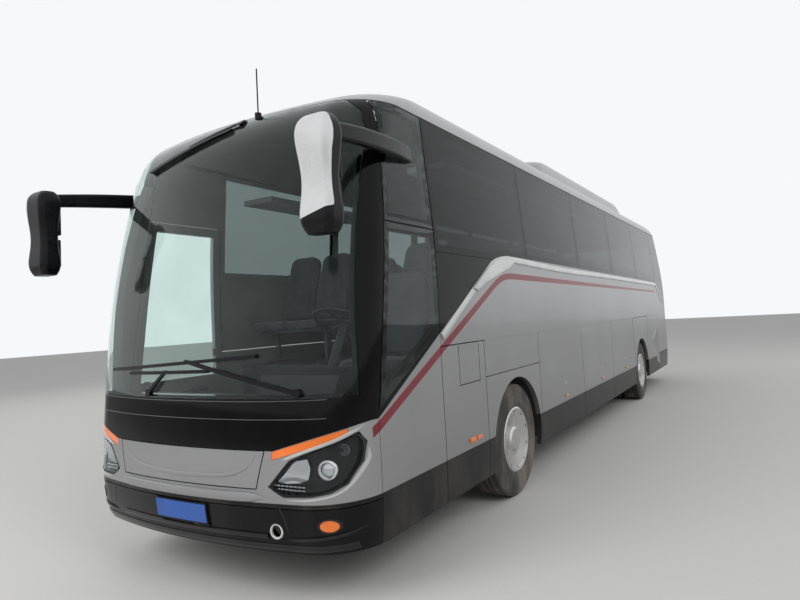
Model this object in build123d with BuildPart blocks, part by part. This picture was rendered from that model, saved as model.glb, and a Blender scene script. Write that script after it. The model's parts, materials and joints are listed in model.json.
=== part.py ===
from build123d import *
import math
import os

os.makedirs("parts", exist_ok=True)

# Touring coach, millimetres. +X forward, +Y to the coach's left, +Z up, ground at Z = 0.
# Stations are distances ahead of the front axle, negative behind it.

# Driving dimensions
WHEELBASE = 6080
FRONT_OVERHANG = 2720
REAR_OVERHANG = 3355
MIRROR_REACH = 180
BODY_HALF = 1275
SKIRT_Z = 350
GROOVE_Z = 1490
ROOF_SPLIT_Z = 3230
ROOF_TOP_Z = 3570
WALL = 48
GLASS = 8
FLAP_T = 30
LAMP_T = 40
PANEL_GAP = 8
LIP = 14
GLASS_LIP = 25
NOSE_BOW = 4800
TAIL_BOW = 9000
NOSE_CORNER = 400
TAIL_CORNER = 450

# Wheels and axles
TYRE_R = 515
TYRE_W = 295
RIM_R = 286
RIM_WALL = 14
TRACK_HALF_FRONT = 1092
KINGPIN_Y = 905
KINGPIN_R = 24
TWIN_INNER_Y = 752
ARCH_R = 582
HOUSING_R = 655
HOUSING_WALL = 12
HOUSING_INNER_Y = 495
SPINDLE_R = 45
HUB_R = 92
RUNNING = 0.3

# Floors and decks
DECK_Z = 1330
DECK_T = 40
PLATFORM_Z = 1000
HOLD_Z = 440
HOLD_T = 25
HOLD_HALF = 1200
RAIL_Z = 640
RAIL_H = 120
RAIL_W = 80
RAIL_Y = 420

# Stations
S_MASK = 2260
S_FIRST = 1437
S_ARCH_FRONT = 690
S_ARCH_REAR = -626
S_HOLD_REAR = -5420
S_ENGINE_FRONT = -6740
S_TAIL_SEAM = -7835
FRONT_DOOR = (2252, 1300)
MID_DOOR = (-3990, -4890)
DOOR_SILL_Z = 365
FRONT_DOOR_TOP = 2660
HEADER_GAP = 8
MID_DOOR_TOP = 2150

LEFT, RIGHT = 1, -1
X_AXLE = (WHEELBASE + REAR_OVERHANG - FRONT_OVERHANG - MIRROR_REACH) / 2
X_NOSE = X_AXLE + FRONT_OVERHANG
X_TAIL = X_AXLE - WHEELBASE - REAR_OVERHANG
X_AXLE_REAR = X_AXLE - WHEELBASE

# Levels of the body: height, nose setback, tail setback, half width
BODY_LEVELS = [
    (SKIRT_Z, 60, 120, BODY_HALF - 12),
    (700, 0, 20, BODY_HALF),
    (1000, 10, 0, BODY_HALF),
    (1500, 50, 10, BODY_HALF),
    (2200, 150, 90, BODY_HALF - 2),
    (2700, 255, 205, 1240),
    (3000, 350, 300, 1215),
    (ROOF_SPLIT_Z, 540, 420, 1195),
]
# Levels of the roof cap, same columns
ROOF_LEVELS = [
    (ROOF_SPLIT_Z, 540, 420, 1195),
    (3340, 760, 520, 1140),
    (3430, 1050, 640, 1050),
    (3510, 1500, 820, 880),
    (ROOF_TOP_Z, 2250, 1150, 520),
]


def corner_fillet(apex, bow, half, corner, ahead):
    """Centre of a tangent corner and the angle of its joint with the bowed end."""
    centre_y = half - corner
    angle = math.asin(centre_y / (bow - corner))
    centre_x = apex - ahead * (bow - (bow - corner) * math.cos(angle))
    return centre_x, centre_y, angle


def plan_outline(nose, tail, half, inset):
    """Closed plan outline of one level: bowed nose and tail, tangent corners, straight sides."""
    ends = []
    for apex, bow, corner, ahead in (
        (nose - inset, NOSE_BOW - inset, NOSE_CORNER - inset, 1),
        (tail + inset, TAIL_BOW - inset, TAIL_CORNER - inset, -1),
    ):
        centre_x, centre_y, angle = corner_fillet(apex, bow, half - inset, corner, ahead)
        joint = (apex - ahead * bow * (1 - math.cos(angle)), bow * math.sin(angle))
        middle = (angle + math.pi / 2) / 2
        bend = (centre_x + ahead * corner * math.cos(middle), centre_y + corner * math.sin(middle))
        ends.append((apex, joint, bend, (centre_x, half - inset)))
    (apex_f, joint_f, bend_f, side_f), (apex_r, joint_r, bend_r, side_r) = ends
    other = lambda point: (point[0], -point[1])
    ThreePointArc(other(joint_f), (apex_f, 0), joint_f)
    ThreePointArc(joint_f, bend_f, side_f)
    Line(side_f, side_r)
    ThreePointArc(side_r, bend_r, joint_r)
    ThreePointArc(joint_r, (apex_r, 0), other(joint_r))
    ThreePointArc(other(joint_r), other(bend_r), other(side_r))
    Line(other(side_r), other(side_f))
    ThreePointArc(other(side_f), other(bend_f), other(joint_f))


def envelope(levels, inset, drop=0):
    """Solid lofted through the levels, each set in by the same amount and the upper ones dropped."""
    with BuildPart() as solid:
        for number, (height, nose_back, tail_back, half) in enumerate(levels):
            with BuildSketch(Plane.XY.offset(height - (drop if number else 0))):
                with BuildLine():
                    plan_outline(X_NOSE - nose_back, X_TAIL + tail_back, half, inset)
                make_face()
        loft()
    return solid.part


def between(outer, inner):
    """What an outer solid holds outside an inner one."""
    with BuildPart() as layer:
        add(outer)
        add(inner, mode=Mode.SUBTRACT)
    return layer.part


def side_plane(side):
    """Sketch plane beside the coach: sketch x is the station, sketch y the height."""
    start = BODY_HALF + 60 if side == LEFT else -BODY_HALF + 400
    return Plane(origin=(X_AXLE, start, 0), x_dir=(1, 0, 0), z_dir=(0, -1, 0))


SIDE_DEPTH = 460


def end_plane(station):
    """Sketch plane across the coach: sketch x is +Y, sketch y the height, extrusion runs forward."""
    return Plane(origin=(X_AXLE + station, 0, 0), x_dir=(0, 1, 0), z_dir=(1, 0, 0))


def deck_plane(height):
    """Level sketch plane: sketch x is the station, sketch y is +Y."""
    return Plane(origin=(X_AXLE, 0, height), x_dir=(1, 0, 0), z_dir=(0, 0, 1))


def span(x_low, x_high, y_low, y_high, mode=Mode.ADD):
    """Rectangle given by its limits."""
    with Locations(((x_low + x_high) / 2, (y_low + y_high) / 2)):
        Rectangle(x_high - x_low, y_high - y_low, mode=mode)


def block(x_low, x_high, y_low, y_high, z_low, z_high, mode=Mode.ADD):
    """Box given by its limits, its stations measured from the front axle."""
    centre = (X_AXLE + (x_low + x_high) / 2, (y_low + y_high) / 2, (z_low + z_high) / 2)
    with Locations(centre):
        Box(x_high - x_low, y_high - y_low, z_high - z_low, mode=mode)


def save(solid, label):
    """Label a finished piece and write it."""
    solid.label = label
    export_step(solid, f"parts/{label}.step")


outer_form = envelope(BODY_LEVELS, 0)
inner_form = envelope(BODY_LEVELS, WALL)
glass_form = envelope(BODY_LEVELS, GLASS)
wall_skin = between(outer_form, inner_form)
glass_skin = between(outer_form, glass_form)
frame_skin = between(glass_form, inner_form)
flap_skin = between(outer_form, envelope(BODY_LEVELS, FLAP_T))
lamp_skin = between(outer_form, envelope(BODY_LEVELS, LAMP_T))
# Pockets that each kind of inset piece sits in, a running gap deeper than the piece, and the lip left behind
flap_pocket_form = envelope(BODY_LEVELS, FLAP_T + RUNNING)
flap_pocket = between(outer_form, flap_pocket_form)
lamp_pocket = between(outer_form, envelope(BODY_LEVELS, LAMP_T + RUNNING))
glass_pocket = between(outer_form, envelope(BODY_LEVELS, GLASS + RUNNING))
lip_skin = between(flap_pocket_form, inner_form)

# The belt: a swoosh that climbs from the nose and runs level under the windows
BELT_START = (S_MASK, 1105)
BELT_KNEE = (310, 2245)
BELT_END = (S_TAIL_SEAM + 85, 2155)
BELT_BEND = 1050
BELT_SLOPE = (BELT_KNEE[1] - BELT_START[1]) / (BELT_KNEE[0] - BELT_START[0])


def belt_height(station):
    """Height of the straight front stretch of the belt at a station."""
    return BELT_START[1] + BELT_SLOPE * (station - BELT_START[0])


def belt_area(front, rear, floor=None, ceiling=None, margin=0):
    """Area below the belt down to a floor, or above it up to a ceiling, grown by a margin."""
    edge = floor if floor is not None else ceiling
    start = (BELT_START[0] + 200, belt_height(BELT_START[0] + 200))
    end = (BELT_END[0] - 2000, BELT_END[1])
    with BuildSketch() as area:
        with BuildLine():
            FilletPolyline(start, BELT_KNEE, end, radius=BELT_BEND)
            Polyline(end, (end[0], edge), (start[0], edge), start)
        make_face()
        if margin:
            offset(amount=margin, kind=Kind.INTERSECTION)
        span(rear, front, 0, 3600, mode=Mode.INTERSECT)
    return area.sketch


# Mask seam on the side: station at a height, leaning back with the windscreen pillar
MASK_SEAM = [(S_MASK, SKIRT_Z - 5), (S_MASK, 1105), (2085, 2360), (1985, ROOF_SPLIT_Z + 5)]
# Lower edge of the black mask across the front: distance from the centre, height
MASK_EDGE = [(0, 966), (762, 964), (1190, 1086), (1262, 1110)]
# Windscreen outline on the left half: distance from the centre, height
SCREEN_EDGE = [(1232, 1262), (1176, 2960), (1120, 3125), (1000, 3226)]
INDICATOR_H = 54
LID_HALF_TOP = 700
LID_HALF_LOW = 640
LID_LOW_Z = 738
BAND_LOW_Z = 628
BUMPER_SPLIT_Z = 622


def mirrored(points):
    """Outline points on the left half, carried across to the right half."""
    return points + [(-across, height) for across, height in reversed(points) if across]


def nose_region():
    """Side view area ahead of the mask seam."""
    Polygon(*MASK_SEAM, (3000, ROOF_SPLIT_Z + 5), (3000, SKIRT_Z - 5), align=None)


HEADLAMP = [
    (1226, 1046), (1246, 990), (1238, 880), (1186, 764), (1118, 722),
    (1010, 704), (835, 699), (738, 752), (880, 905),
]
HEADLAMP_GAP = 6
STRIP_GAP = 2
FOG_Y = 1094
FOG_Z = 527
FOG_WIDE = 50
FOG_HIGH = 36
LAMP_REAR = 2350
SCREEN_GAP = 4


def grown(points, amount):
    """Area of an outline, grown or drawn in."""
    with BuildSketch() as area:
        Polygon(*points, align=None)
        if amount:
            offset(amount=amount, kind=Kind.INTERSECTION)
    return area.sketch


def pressed(areas, start, depth, layer):
    """What areas of the end view cut out of one layer, from a station over a depth."""
    with BuildPart() as cut:
        with BuildSketch(end_plane(start)):
            add(areas)
        extrude(amount=depth)
        add(layer, mode=Mode.INTERSECT)
    return cut.part


screen_outline = mirrored(SCREEN_EDGE)
with BuildPart() as front_mask:
    with BuildSketch(side_plane(LEFT)):
        nose_region()
    extrude(amount=2 * BODY_HALF + 120)
    add(wall_skin, mode=Mode.INTERSECT)
    with BuildSketch(end_plane(1500)):
        Polygon(*mirrored([*MASK_EDGE, (1400, MASK_EDGE[-1][1]), (1400, ROOF_SPLIT_Z + 10)]), align=None)
        add(grown(screen_outline, -GLASS_LIP), mode=Mode.SUBTRACT)
    extrude(amount=1400, mode=Mode.INTERSECT)
    add(pressed(grown(screen_outline, 0), 1500, 1400, glass_pocket), mode=Mode.SUBTRACT)
save(front_mask.part, "front_mask")
save(pressed(grown(screen_outline, -SCREEN_GAP), 1500, 1400, glass_skin), "windscreen")

front_lid_outline = mirrored([(LID_HALF_TOP, MASK_EDGE[0][1] - PANEL_GAP), (LID_HALF_LOW, LID_LOW_Z)])
save(pressed(grown(front_lid_outline, 0), 1900, 1000, flap_skin), "front_lid")
lamp_areas = []
strip_areas = []
for side in (LEFT, RIGHT):
    lamp_areas.append([(side * across, height) for across, height in HEADLAMP])
    strip_areas.append([
        (side * MASK_EDGE[1][0], MASK_EDGE[1][1] - PANEL_GAP), (side * MASK_EDGE[1][0], MASK_EDGE[1][1] - INDICATOR_H),
        (side * MASK_EDGE[2][0], MASK_EDGE[2][1] - INDICATOR_H), (side * MASK_EDGE[2][0], MASK_EDGE[2][1] - PANEL_GAP),
    ])

with BuildPart() as front_panel:
    with BuildSketch(side_plane(LEFT)):
        nose_region()
    extrude(amount=2 * BODY_HALF + 120)
    add(wall_skin, mode=Mode.INTERSECT)
    with BuildSketch(end_plane(1500)):
        Polygon(
            *mirrored([(across, height - 4) for across, height in MASK_EDGE] + [(1400, 1106), (1400, BAND_LOW_Z)]),
            align=None,
        )
        add(grown(front_lid_outline, -LIP), mode=Mode.SUBTRACT)
    extrude(amount=1400, mode=Mode.INTERSECT)
    add(pressed(grown(front_lid_outline, PANEL_GAP), 1500, 1400, flap_pocket), mode=Mode.SUBTRACT)
    for lamp, strip_area in zip(lamp_areas, strip_areas):
        add(pressed(grown(lamp, HEADLAMP_GAP), LAMP_REAR - HEADLAMP_GAP, 600, lamp_pocket), mode=Mode.SUBTRACT)
        add(pressed(grown(strip_area, STRIP_GAP), 1900, 1000, flap_pocket), mode=Mode.SUBTRACT)
save(front_panel.part, "front_panel")

# Bumper, lamps and tow sockets
TOW_FRONT_Y = 760
TOW_FRONT_Z = 487
TOW_REAR_Z = 520
TOW_BORE_R = 21
TOW_TUBE_R = 40
TOW_LENGTH = 160
TOW_OPENING_R = 48

def fog_area(margin):
    """The two fog lamps of the front bumper, grown by a margin."""
    with BuildSketch() as area:
        with Locations((FOG_Y, FOG_Z), (-FOG_Y, FOG_Z)):
            Ellipse(FOG_WIDE + margin, FOG_HIGH + margin)
    return area.sketch


with BuildPart() as bumper:
    with BuildSketch(side_plane(LEFT)):
        Polygon((S_MASK, SKIRT_Z), (S_MASK, BUMPER_SPLIT_Z), (3000, BUMPER_SPLIT_Z), (3000, SKIRT_Z), align=None)
    extrude(amount=2 * BODY_HALF + 120)
    add(wall_skin, mode=Mode.INTERSECT)
    with BuildSketch(end_plane(1500)):
        with Locations((TOW_FRONT_Y, TOW_FRONT_Z)):
            Circle(TOW_OPENING_R)
    extrude(amount=1400, mode=Mode.SUBTRACT)
    add(pressed(fog_area(STRIP_GAP), 1900, 1000, flap_pocket), mode=Mode.SUBTRACT)
save(bumper.part, "bumper")

with BuildPart() as headlamps:
    for lamp in lamp_areas:
        add(pressed(grown(lamp, 0), LAMP_REAR, 600, lamp_skin))
save(headlamps.part, "headlamps")

# Side markers: station and side of those on fixed panels, and stations of those on the hold flaps and engine flap
MARKERS_FIXED = [(1004, LEFT), (1004, RIGHT), (-5160, RIGHT), (-7300, RIGHT)]
MARKERS_FLAPS = (-1470, -3140, -4630, -7300)
MARKER_Z = 718
MARKER_LONG = 100
MARKER_HIGH = 34
MARKER_PROUD = 9
MARKER_OFF = 0.6


def marker(station, side, sunk):
    """Side marker block that stands proud of the wall, sunk into it or a running gap off it."""
    start = BODY_HALF - sunk
    near, far = sorted((side * start, side * (BODY_HALF + MARKER_PROUD)))
    block(station - MARKER_LONG / 2, station + MARKER_LONG / 2, near, far,
          MARKER_Z - MARKER_HIGH / 2, MARKER_Z + MARKER_HIGH / 2)


with BuildPart() as amber_lamps:
    for strip_area in strip_areas:
        add(pressed(grown(strip_area, 0), 1900, 1000, flap_skin))
    add(pressed(fog_area(0), 1900, 1000, flap_skin))
    for station, side in MARKERS_FIXED:
        marker(station, side, -MARKER_OFF)
save(amber_lamps.part, "amber_lamps")

# Side panels. Flap tops meet the groove, the upper wall starts on it.
FLAP_TOP_Z = GROOVE_Z - PANEL_GAP
WHEEL_FLAP_Z = 1180
FILLER = (1160, 800, 1165, 1465)
CORNER_S = -8900
BELT_TAIL = [(-7970, 2157), (-8710, 1790), (CORNER_S, 1640)]
HOLD_LEFT = 3
HOLD_RIGHT = 2
DOOR_JAMB = 60
HALF_GAP = PANEL_GAP / 2


def arch_hole(station):
    """Wheel arch cut in the side view."""
    with Locations((station, TYRE_R)):
        Circle(ARCH_R, mode=Mode.SUBTRACT)


# Flaps that swing up from the groove: name, side, front station, rear station, low edge, top edge
hold_left = (S_ARCH_REAR - S_HOLD_REAR - PANEL_GAP) / HOLD_LEFT
hold_right = (S_ARCH_REAR - MID_DOOR[0] - DOOR_JAMB - PANEL_GAP) / HOLD_RIGHT
FLAPS = [
    ("filler_flap", LEFT, FILLER[0] - HALF_GAP, FILLER[1] + HALF_GAP, FILLER[2] + HALF_GAP, FILLER[3] - HALF_GAP),
    ("wheel_flap", LEFT, S_ARCH_FRONT - HALF_GAP, S_ARCH_REAR + HALF_GAP, WHEEL_FLAP_Z, FLAP_TOP_Z),
    ("engine_flap", LEFT, S_ENGINE_FRONT - HALF_GAP, S_TAIL_SEAM + HALF_GAP, SKIRT_Z + 2, FLAP_TOP_Z),
]
for side, tag, count, width in ((LEFT, "left", HOLD_LEFT, hold_left), (RIGHT, "right", HOLD_RIGHT, hold_right)):
    for number in range(count):
        front = S_ARCH_REAR - HALF_GAP - number * width
        FLAPS.append((f"hold_flap_{tag}_{number + 1}", side, front, front - width + PANEL_GAP, SKIRT_Z + 2, FLAP_TOP_Z))

# Hinge of a flap: a tube along its top edge that turns on pins held by brackets in the gaps beside it
HINGE_OUT = 2.5
HINGE_UP = 3
HINGE_R = 4
HINGE_PIN_R = 2
HINGE_PIN_IN = 12


def hinge_plane(side, top):
    """Plane across a flap's hinge axis: sketch centre on the axis, extrusion along +X from the front axle."""
    return Plane(origin=(X_AXLE, side * (BODY_HALF + HINGE_OUT), top + HINGE_UP), x_dir=(0, 1, 0), z_dir=(1, 0, 0))


def hinge_rod(side, top, start, end, radius):
    """Round bar on a flap's hinge axis between two stations."""
    with BuildPart() as rod:
        with BuildSketch(hinge_plane(side, top).offset(start)):
            Circle(radius)
        extrude(amount=end - start)
    return rod.part


def hinge_brackets(side, own):
    """Brackets and pins at both ends of the flaps of one side; own picks the filler flap or all the others."""
    near, far = sorted((side * (BODY_HALF - FLAP_T), side * (BODY_HALF + HINGE_OUT + HINGE_R)))
    half = HALF_GAP - RUNNING
    with BuildPart() as brackets:
        for label, flap_side, front, rear, low, top in FLAPS:
            if flap_side == side and (label == "filler_flap") == own:
                for station in (front + HALF_GAP, rear - HALF_GAP):
                    block(station - half, station + half, near, far, top + HINGE_UP - HINGE_R, top + PANEL_GAP)
                add(hinge_rod(side, top, front - HINGE_PIN_IN, front + HALF_GAP, HINGE_PIN_R))
                add(hinge_rod(side, top, rear - HALF_GAP, rear + HINGE_PIN_IN, HINGE_PIN_R))
    return brackets.part


def flap_frames(side):
    """Lips behind the flaps of one side, that they close on; neighbours share a pillar."""
    with BuildSketch() as area:
        for label, flap_side, front, rear, low, top in FLAPS:
            if flap_side == side:
                span(rear - PANEL_GAP, front + PANEL_GAP, max(low - PANEL_GAP, SKIRT_Z), top + PANEL_GAP)
        for label, flap_side, front, rear, low, top in FLAPS:
            if flap_side == side:
                span(rear + LIP, front - LIP, low + LIP, top - LIP, mode=Mode.SUBTRACT)
        arch_hole(0)
        arch_hole(-WHEELBASE)
    return area.sketch


lower_sides = []
for side in (LEFT, RIGHT):
    with BuildPart() as lip_side:
        with BuildSketch(side_plane(side)):
            add(flap_frames(side))
        extrude(amount=SIDE_DEPTH)
        add(lip_skin, mode=Mode.INTERSECT)
    with BuildPart() as lower_side:
        with BuildSketch(side_plane(side)):
            if side == LEFT:
                Polygon(
                    (S_MASK - HALF_GAP, SKIRT_Z), (S_MASK - HALF_GAP, belt_height(S_MASK - HALF_GAP)),
                    (S_FIRST + HALF_GAP, belt_height(S_FIRST + HALF_GAP)), (S_FIRST + HALF_GAP, SKIRT_Z),
                    align=None,
                )
                span(S_ARCH_FRONT + HALF_GAP, S_FIRST - HALF_GAP, SKIRT_Z, FLAP_TOP_Z)
                span(
                    FILLER[1] - HALF_GAP, FILLER[0] + HALF_GAP, FILLER[2] - HALF_GAP,
                    FILLER[3] + HALF_GAP, mode=Mode.SUBTRACT,
                )
                span(S_ENGINE_FRONT + HALF_GAP, S_HOLD_REAR - HALF_GAP, SKIRT_Z, FLAP_TOP_Z)
                span(S_ARCH_REAR + HALF_GAP, S_ARCH_FRONT - HALF_GAP, SKIRT_Z, WHEEL_FLAP_Z - PANEL_GAP)
            else:
                span(S_ARCH_FRONT + HALF_GAP, FRONT_DOOR[1] - PANEL_GAP, SKIRT_Z, FLAP_TOP_Z)
                span(S_ARCH_REAR + HALF_GAP, S_ARCH_FRONT - HALF_GAP, SKIRT_Z, FLAP_TOP_Z)
                span(MID_DOOR[0] + PANEL_GAP, MID_DOOR[0] + DOOR_JAMB, SKIRT_Z, FLAP_TOP_Z)
                span(S_ENGINE_FRONT + HALF_GAP, MID_DOOR[1] - PANEL_GAP, SKIRT_Z, FLAP_TOP_Z)
                span(S_TAIL_SEAM + HALF_GAP, S_ENGINE_FRONT - HALF_GAP, SKIRT_Z, FLAP_TOP_Z)
            arch_hole(0)
            arch_hole(-WHEELBASE)
        extrude(amount=SIDE_DEPTH)
        add(wall_skin, mode=Mode.INTERSECT)
        add(lip_side.part)
        if side == LEFT:
            add(hinge_brackets(side, True))
    lower_sides.append(lower_side.part)
with BuildPart() as lower_walls:
    add(lower_sides)
save(lower_walls.part, "lower_walls")

upper_sides = []
for side in (LEFT, RIGHT):
    front = S_FIRST if side == LEFT else FRONT_DOOR[1] - PANEL_GAP
    with BuildPart() as upper_side:
        with BuildSketch(side_plane(side)):
            add(belt_area(front, BELT_TAIL[0][0], floor=GROOVE_Z))
            Polygon(*BELT_TAIL, (CORNER_S, GROOVE_Z), (BELT_TAIL[0][0] + 1, GROOVE_Z), align=None)
            if side == RIGHT:
                span(
                    MID_DOOR[1] - PANEL_GAP, MID_DOOR[0] + PANEL_GAP, GROOVE_Z - 10,
                    MID_DOOR_TOP + PANEL_GAP, mode=Mode.SUBTRACT,
                )
                for edge in (MID_DOOR[1] - PANEL_GAP, MID_DOOR[0] + PANEL_GAP - RUNNING):
                    span(edge, edge + RUNNING, GROOVE_Z - 10, ROOF_SPLIT_Z, mode=Mode.SUBTRACT)
        extrude(amount=SIDE_DEPTH)
        add(wall_skin, mode=Mode.INTERSECT)
        add(hinge_brackets(side, False))
    upper_sides.append(upper_side.part)
with BuildPart() as upper_walls:
    add(upper_sides)
save(upper_walls.part, "upper_walls")

# Window band: panes bonded over pillars
PILLARS = [S_FIRST, -450, -2320, -4190, -6060, -7930, CORNER_S]
PANE_GAP = 8
PANE_LAP = 55
FIRST_PANE_Z = 2195
BAND_TOP_Z = ROOF_SPLIT_Z - PANE_GAP
DRIVER_WINDOW = [(2236, 1172), (2078, 2350), (S_FIRST + 8, 2350), (S_FIRST + 8, 1608)]
DRIVER_UPPER = [(2074, 2362), (1976, BAND_TOP_Z), (S_FIRST + 8, BAND_TOP_Z), (S_FIRST + 8, 2362)]


def band_area(side, lap):
    """All the panes of one side's window band, each drawn in by its lap on every edge."""
    ceiling = BAND_TOP_Z - lap
    with BuildSketch() as area:
        for number, (front, rear) in enumerate(zip(PILLARS[:-1], PILLARS[1:])):
            if number == 0 and side == RIGHT:
                front = FRONT_DOOR[1] - PANEL_GAP
            low = FIRST_PANE_Z if number == 0 else 1500
            span(rear + PANE_GAP / 2 + lap, front - PANE_GAP / 2 - lap, low + lap, ceiling)
        add(belt_area(3000, BELT_TAIL[0][0], floor=1000, margin=max(lap, 2)), mode=Mode.SUBTRACT)
        with BuildSketch(mode=Mode.SUBTRACT):
            Polygon(
                (BELT_TAIL[0][0] + 500, BELT_TAIL[0][1]), *BELT_TAIL, (CORNER_S - 200, BELT_TAIL[-1][1]),
                (CORNER_S - 200, 1000), (BELT_TAIL[0][0] + 500, 1000), align=None,
            )
            offset(amount=max(lap, 2), kind=Kind.INTERSECTION)
    return area.sketch


frame_sides = []
pane_sides = []
for side in (LEFT, RIGHT):
    front = S_FIRST if side == LEFT else FRONT_DOOR[1] - PANEL_GAP
    with BuildPart() as frame_side:
        with BuildSketch(side_plane(side)):
            add(belt_area(front, BELT_TAIL[0][0], ceiling=ROOF_SPLIT_Z))
            Polygon(*BELT_TAIL, (CORNER_S, ROOF_SPLIT_Z), (BELT_TAIL[0][0] + 1, ROOF_SPLIT_Z), align=None)
            add(band_area(side, PANE_LAP), mode=Mode.SUBTRACT)
            if side == LEFT:
                Polygon(
                    MASK_SEAM[1], MASK_SEAM[2], (MASK_SEAM[3][0], ROOF_SPLIT_Z), (S_FIRST, ROOF_SPLIT_Z),
                    (S_FIRST, belt_height(S_FIRST)), align=None,
                )
                for window in (DRIVER_WINDOW, DRIVER_UPPER):
                    with BuildSketch(mode=Mode.SUBTRACT):
                        Polygon(*window, align=None)
                        offset(amount=-PANE_LAP, kind=Kind.INTERSECTION)
        extrude(amount=SIDE_DEPTH)
        add(frame_skin, mode=Mode.INTERSECT)
    frame_sides.append(frame_side.part)
    with BuildPart() as pane_side:
        with BuildSketch(side_plane(side)):
            add(band_area(side, 0))
            if side == LEFT:
                Polygon(*DRIVER_WINDOW, align=None)
                Polygon(*DRIVER_UPPER, align=None)
        extrude(amount=SIDE_DEPTH)
        add(glass_skin, mode=Mode.INTERSECT)
    pane_sides.append(pane_side.part)
# Outer panels beside and over the glass: below the first pane on both sides, over the front door
panel_sides = []
for side in (LEFT, RIGHT):
    front = S_FIRST if side == LEFT else FRONT_DOOR[1] - PANEL_GAP
    with BuildPart() as panel_side:
        with BuildSketch(side_plane(side)):
            add(belt_area(front, PILLARS[1], ceiling=ROOF_SPLIT_Z))
            span(PILLARS[1], front, GROOVE_Z, FIRST_PANE_Z - PANE_GAP, mode=Mode.INTERSECT)
        extrude(amount=SIDE_DEPTH)
        add(wall_skin, mode=Mode.INTERSECT)
    panel_sides.append(panel_side.part)
with BuildPart() as door_header:
    with BuildSketch(side_plane(RIGHT)):
        low = FRONT_DOOR_TOP + HEADER_GAP
        header_slope = (MASK_SEAM[3][0] - MASK_SEAM[2][0]) / (MASK_SEAM[3][1] - MASK_SEAM[2][1])
        header_rear = FRONT_DOOR[1] - PANEL_GAP + RUNNING
        Polygon(
            (header_rear, low), (MASK_SEAM[2][0] + header_slope * (low - MASK_SEAM[2][1]) - PANEL_GAP, low),
            (MASK_SEAM[3][0] - PANEL_GAP, ROOF_SPLIT_Z), (header_rear, ROOF_SPLIT_Z), align=None,
        )
    extrude(amount=SIDE_DEPTH)
    add(wall_skin, mode=Mode.INTERSECT)
panel_sides.append(door_header.part)
with BuildPart() as window_frames:
    add(frame_sides)
    add(panel_sides)
save(window_frames.part, "window_frames")
with BuildPart() as side_windows:
    add(pane_sides)
save(side_windows.part, "side_windows")

for label, side, front, rear, low, top in FLAPS:
    with BuildPart() as flap:
        with BuildSketch(side_plane(side)):
            span(rear, front, low, top)
        extrude(amount=SIDE_DEPTH)
        add(flap_skin, mode=Mode.INTERSECT)
        add(hinge_rod(side, top, rear, front, HINGE_R))
        for end in (rear, front):
            add(hinge_rod(side, top, end - HINGE_PIN_IN - 1, end + HINGE_PIN_IN + 1, HINGE_PIN_R + RUNNING),
                mode=Mode.SUBTRACT)
        for station in MARKERS_FLAPS:
            if low < MARKER_Z and rear < station < front:
                marker(station, side, 1)
    save(flap.part, label)

# Doors on the right, each hung on a turning post with two arms
POST_R = 22
POST_Y = -1160
ARM_LENGTH = 590
ARM_LEVELS = (520, 1150)
POST_H = 900
ARM_T = 26
ARM_W = 44
PIN_R = 13
LUG_T = 22
LUG_W = 50
# Name, front edge at the sill, rear edge, top, post station, attachment station, seat of the post
DOORS = [
    ("front_door", S_MASK - PANEL_GAP, FRONT_DOOR[1], FRONT_DOOR_TOP, 2140, 2140 - ARM_LENGTH, 400),
    ("mid_door", MID_DOOR[0], MID_DOOR[1], MID_DOOR_TOP, -4790, -4790 + ARM_LENGTH, 400),
]
DOOR_FRAME = 75
DOOR_GLASS_LOW = {"front_door": 1210, "mid_door": 1300}
SEAM_LEAN = (MASK_SEAM[2][0] - MASK_SEAM[1][0]) / (MASK_SEAM[2][1] - MASK_SEAM[1][1])


def door_outline(label, front, rear, top, edge, low):
    """Door outline drawn in by an edge, from a low limit up; the front door leans with the mask seam."""
    lean = SEAM_LEAN if label == "front_door" else 0
    knee = max(low, MASK_SEAM[1][1]) if lean else low
    start = front - edge + lean * (knee - MASK_SEAM[1][1])
    points = [
        (rear + edge, low), (start, low), (start, knee),
        (front - edge + lean * (top - edge - MASK_SEAM[1][1]), top - edge), (rear + edge, top - edge),
    ]
    return points if knee > low else points[:2] + points[3:]


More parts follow.
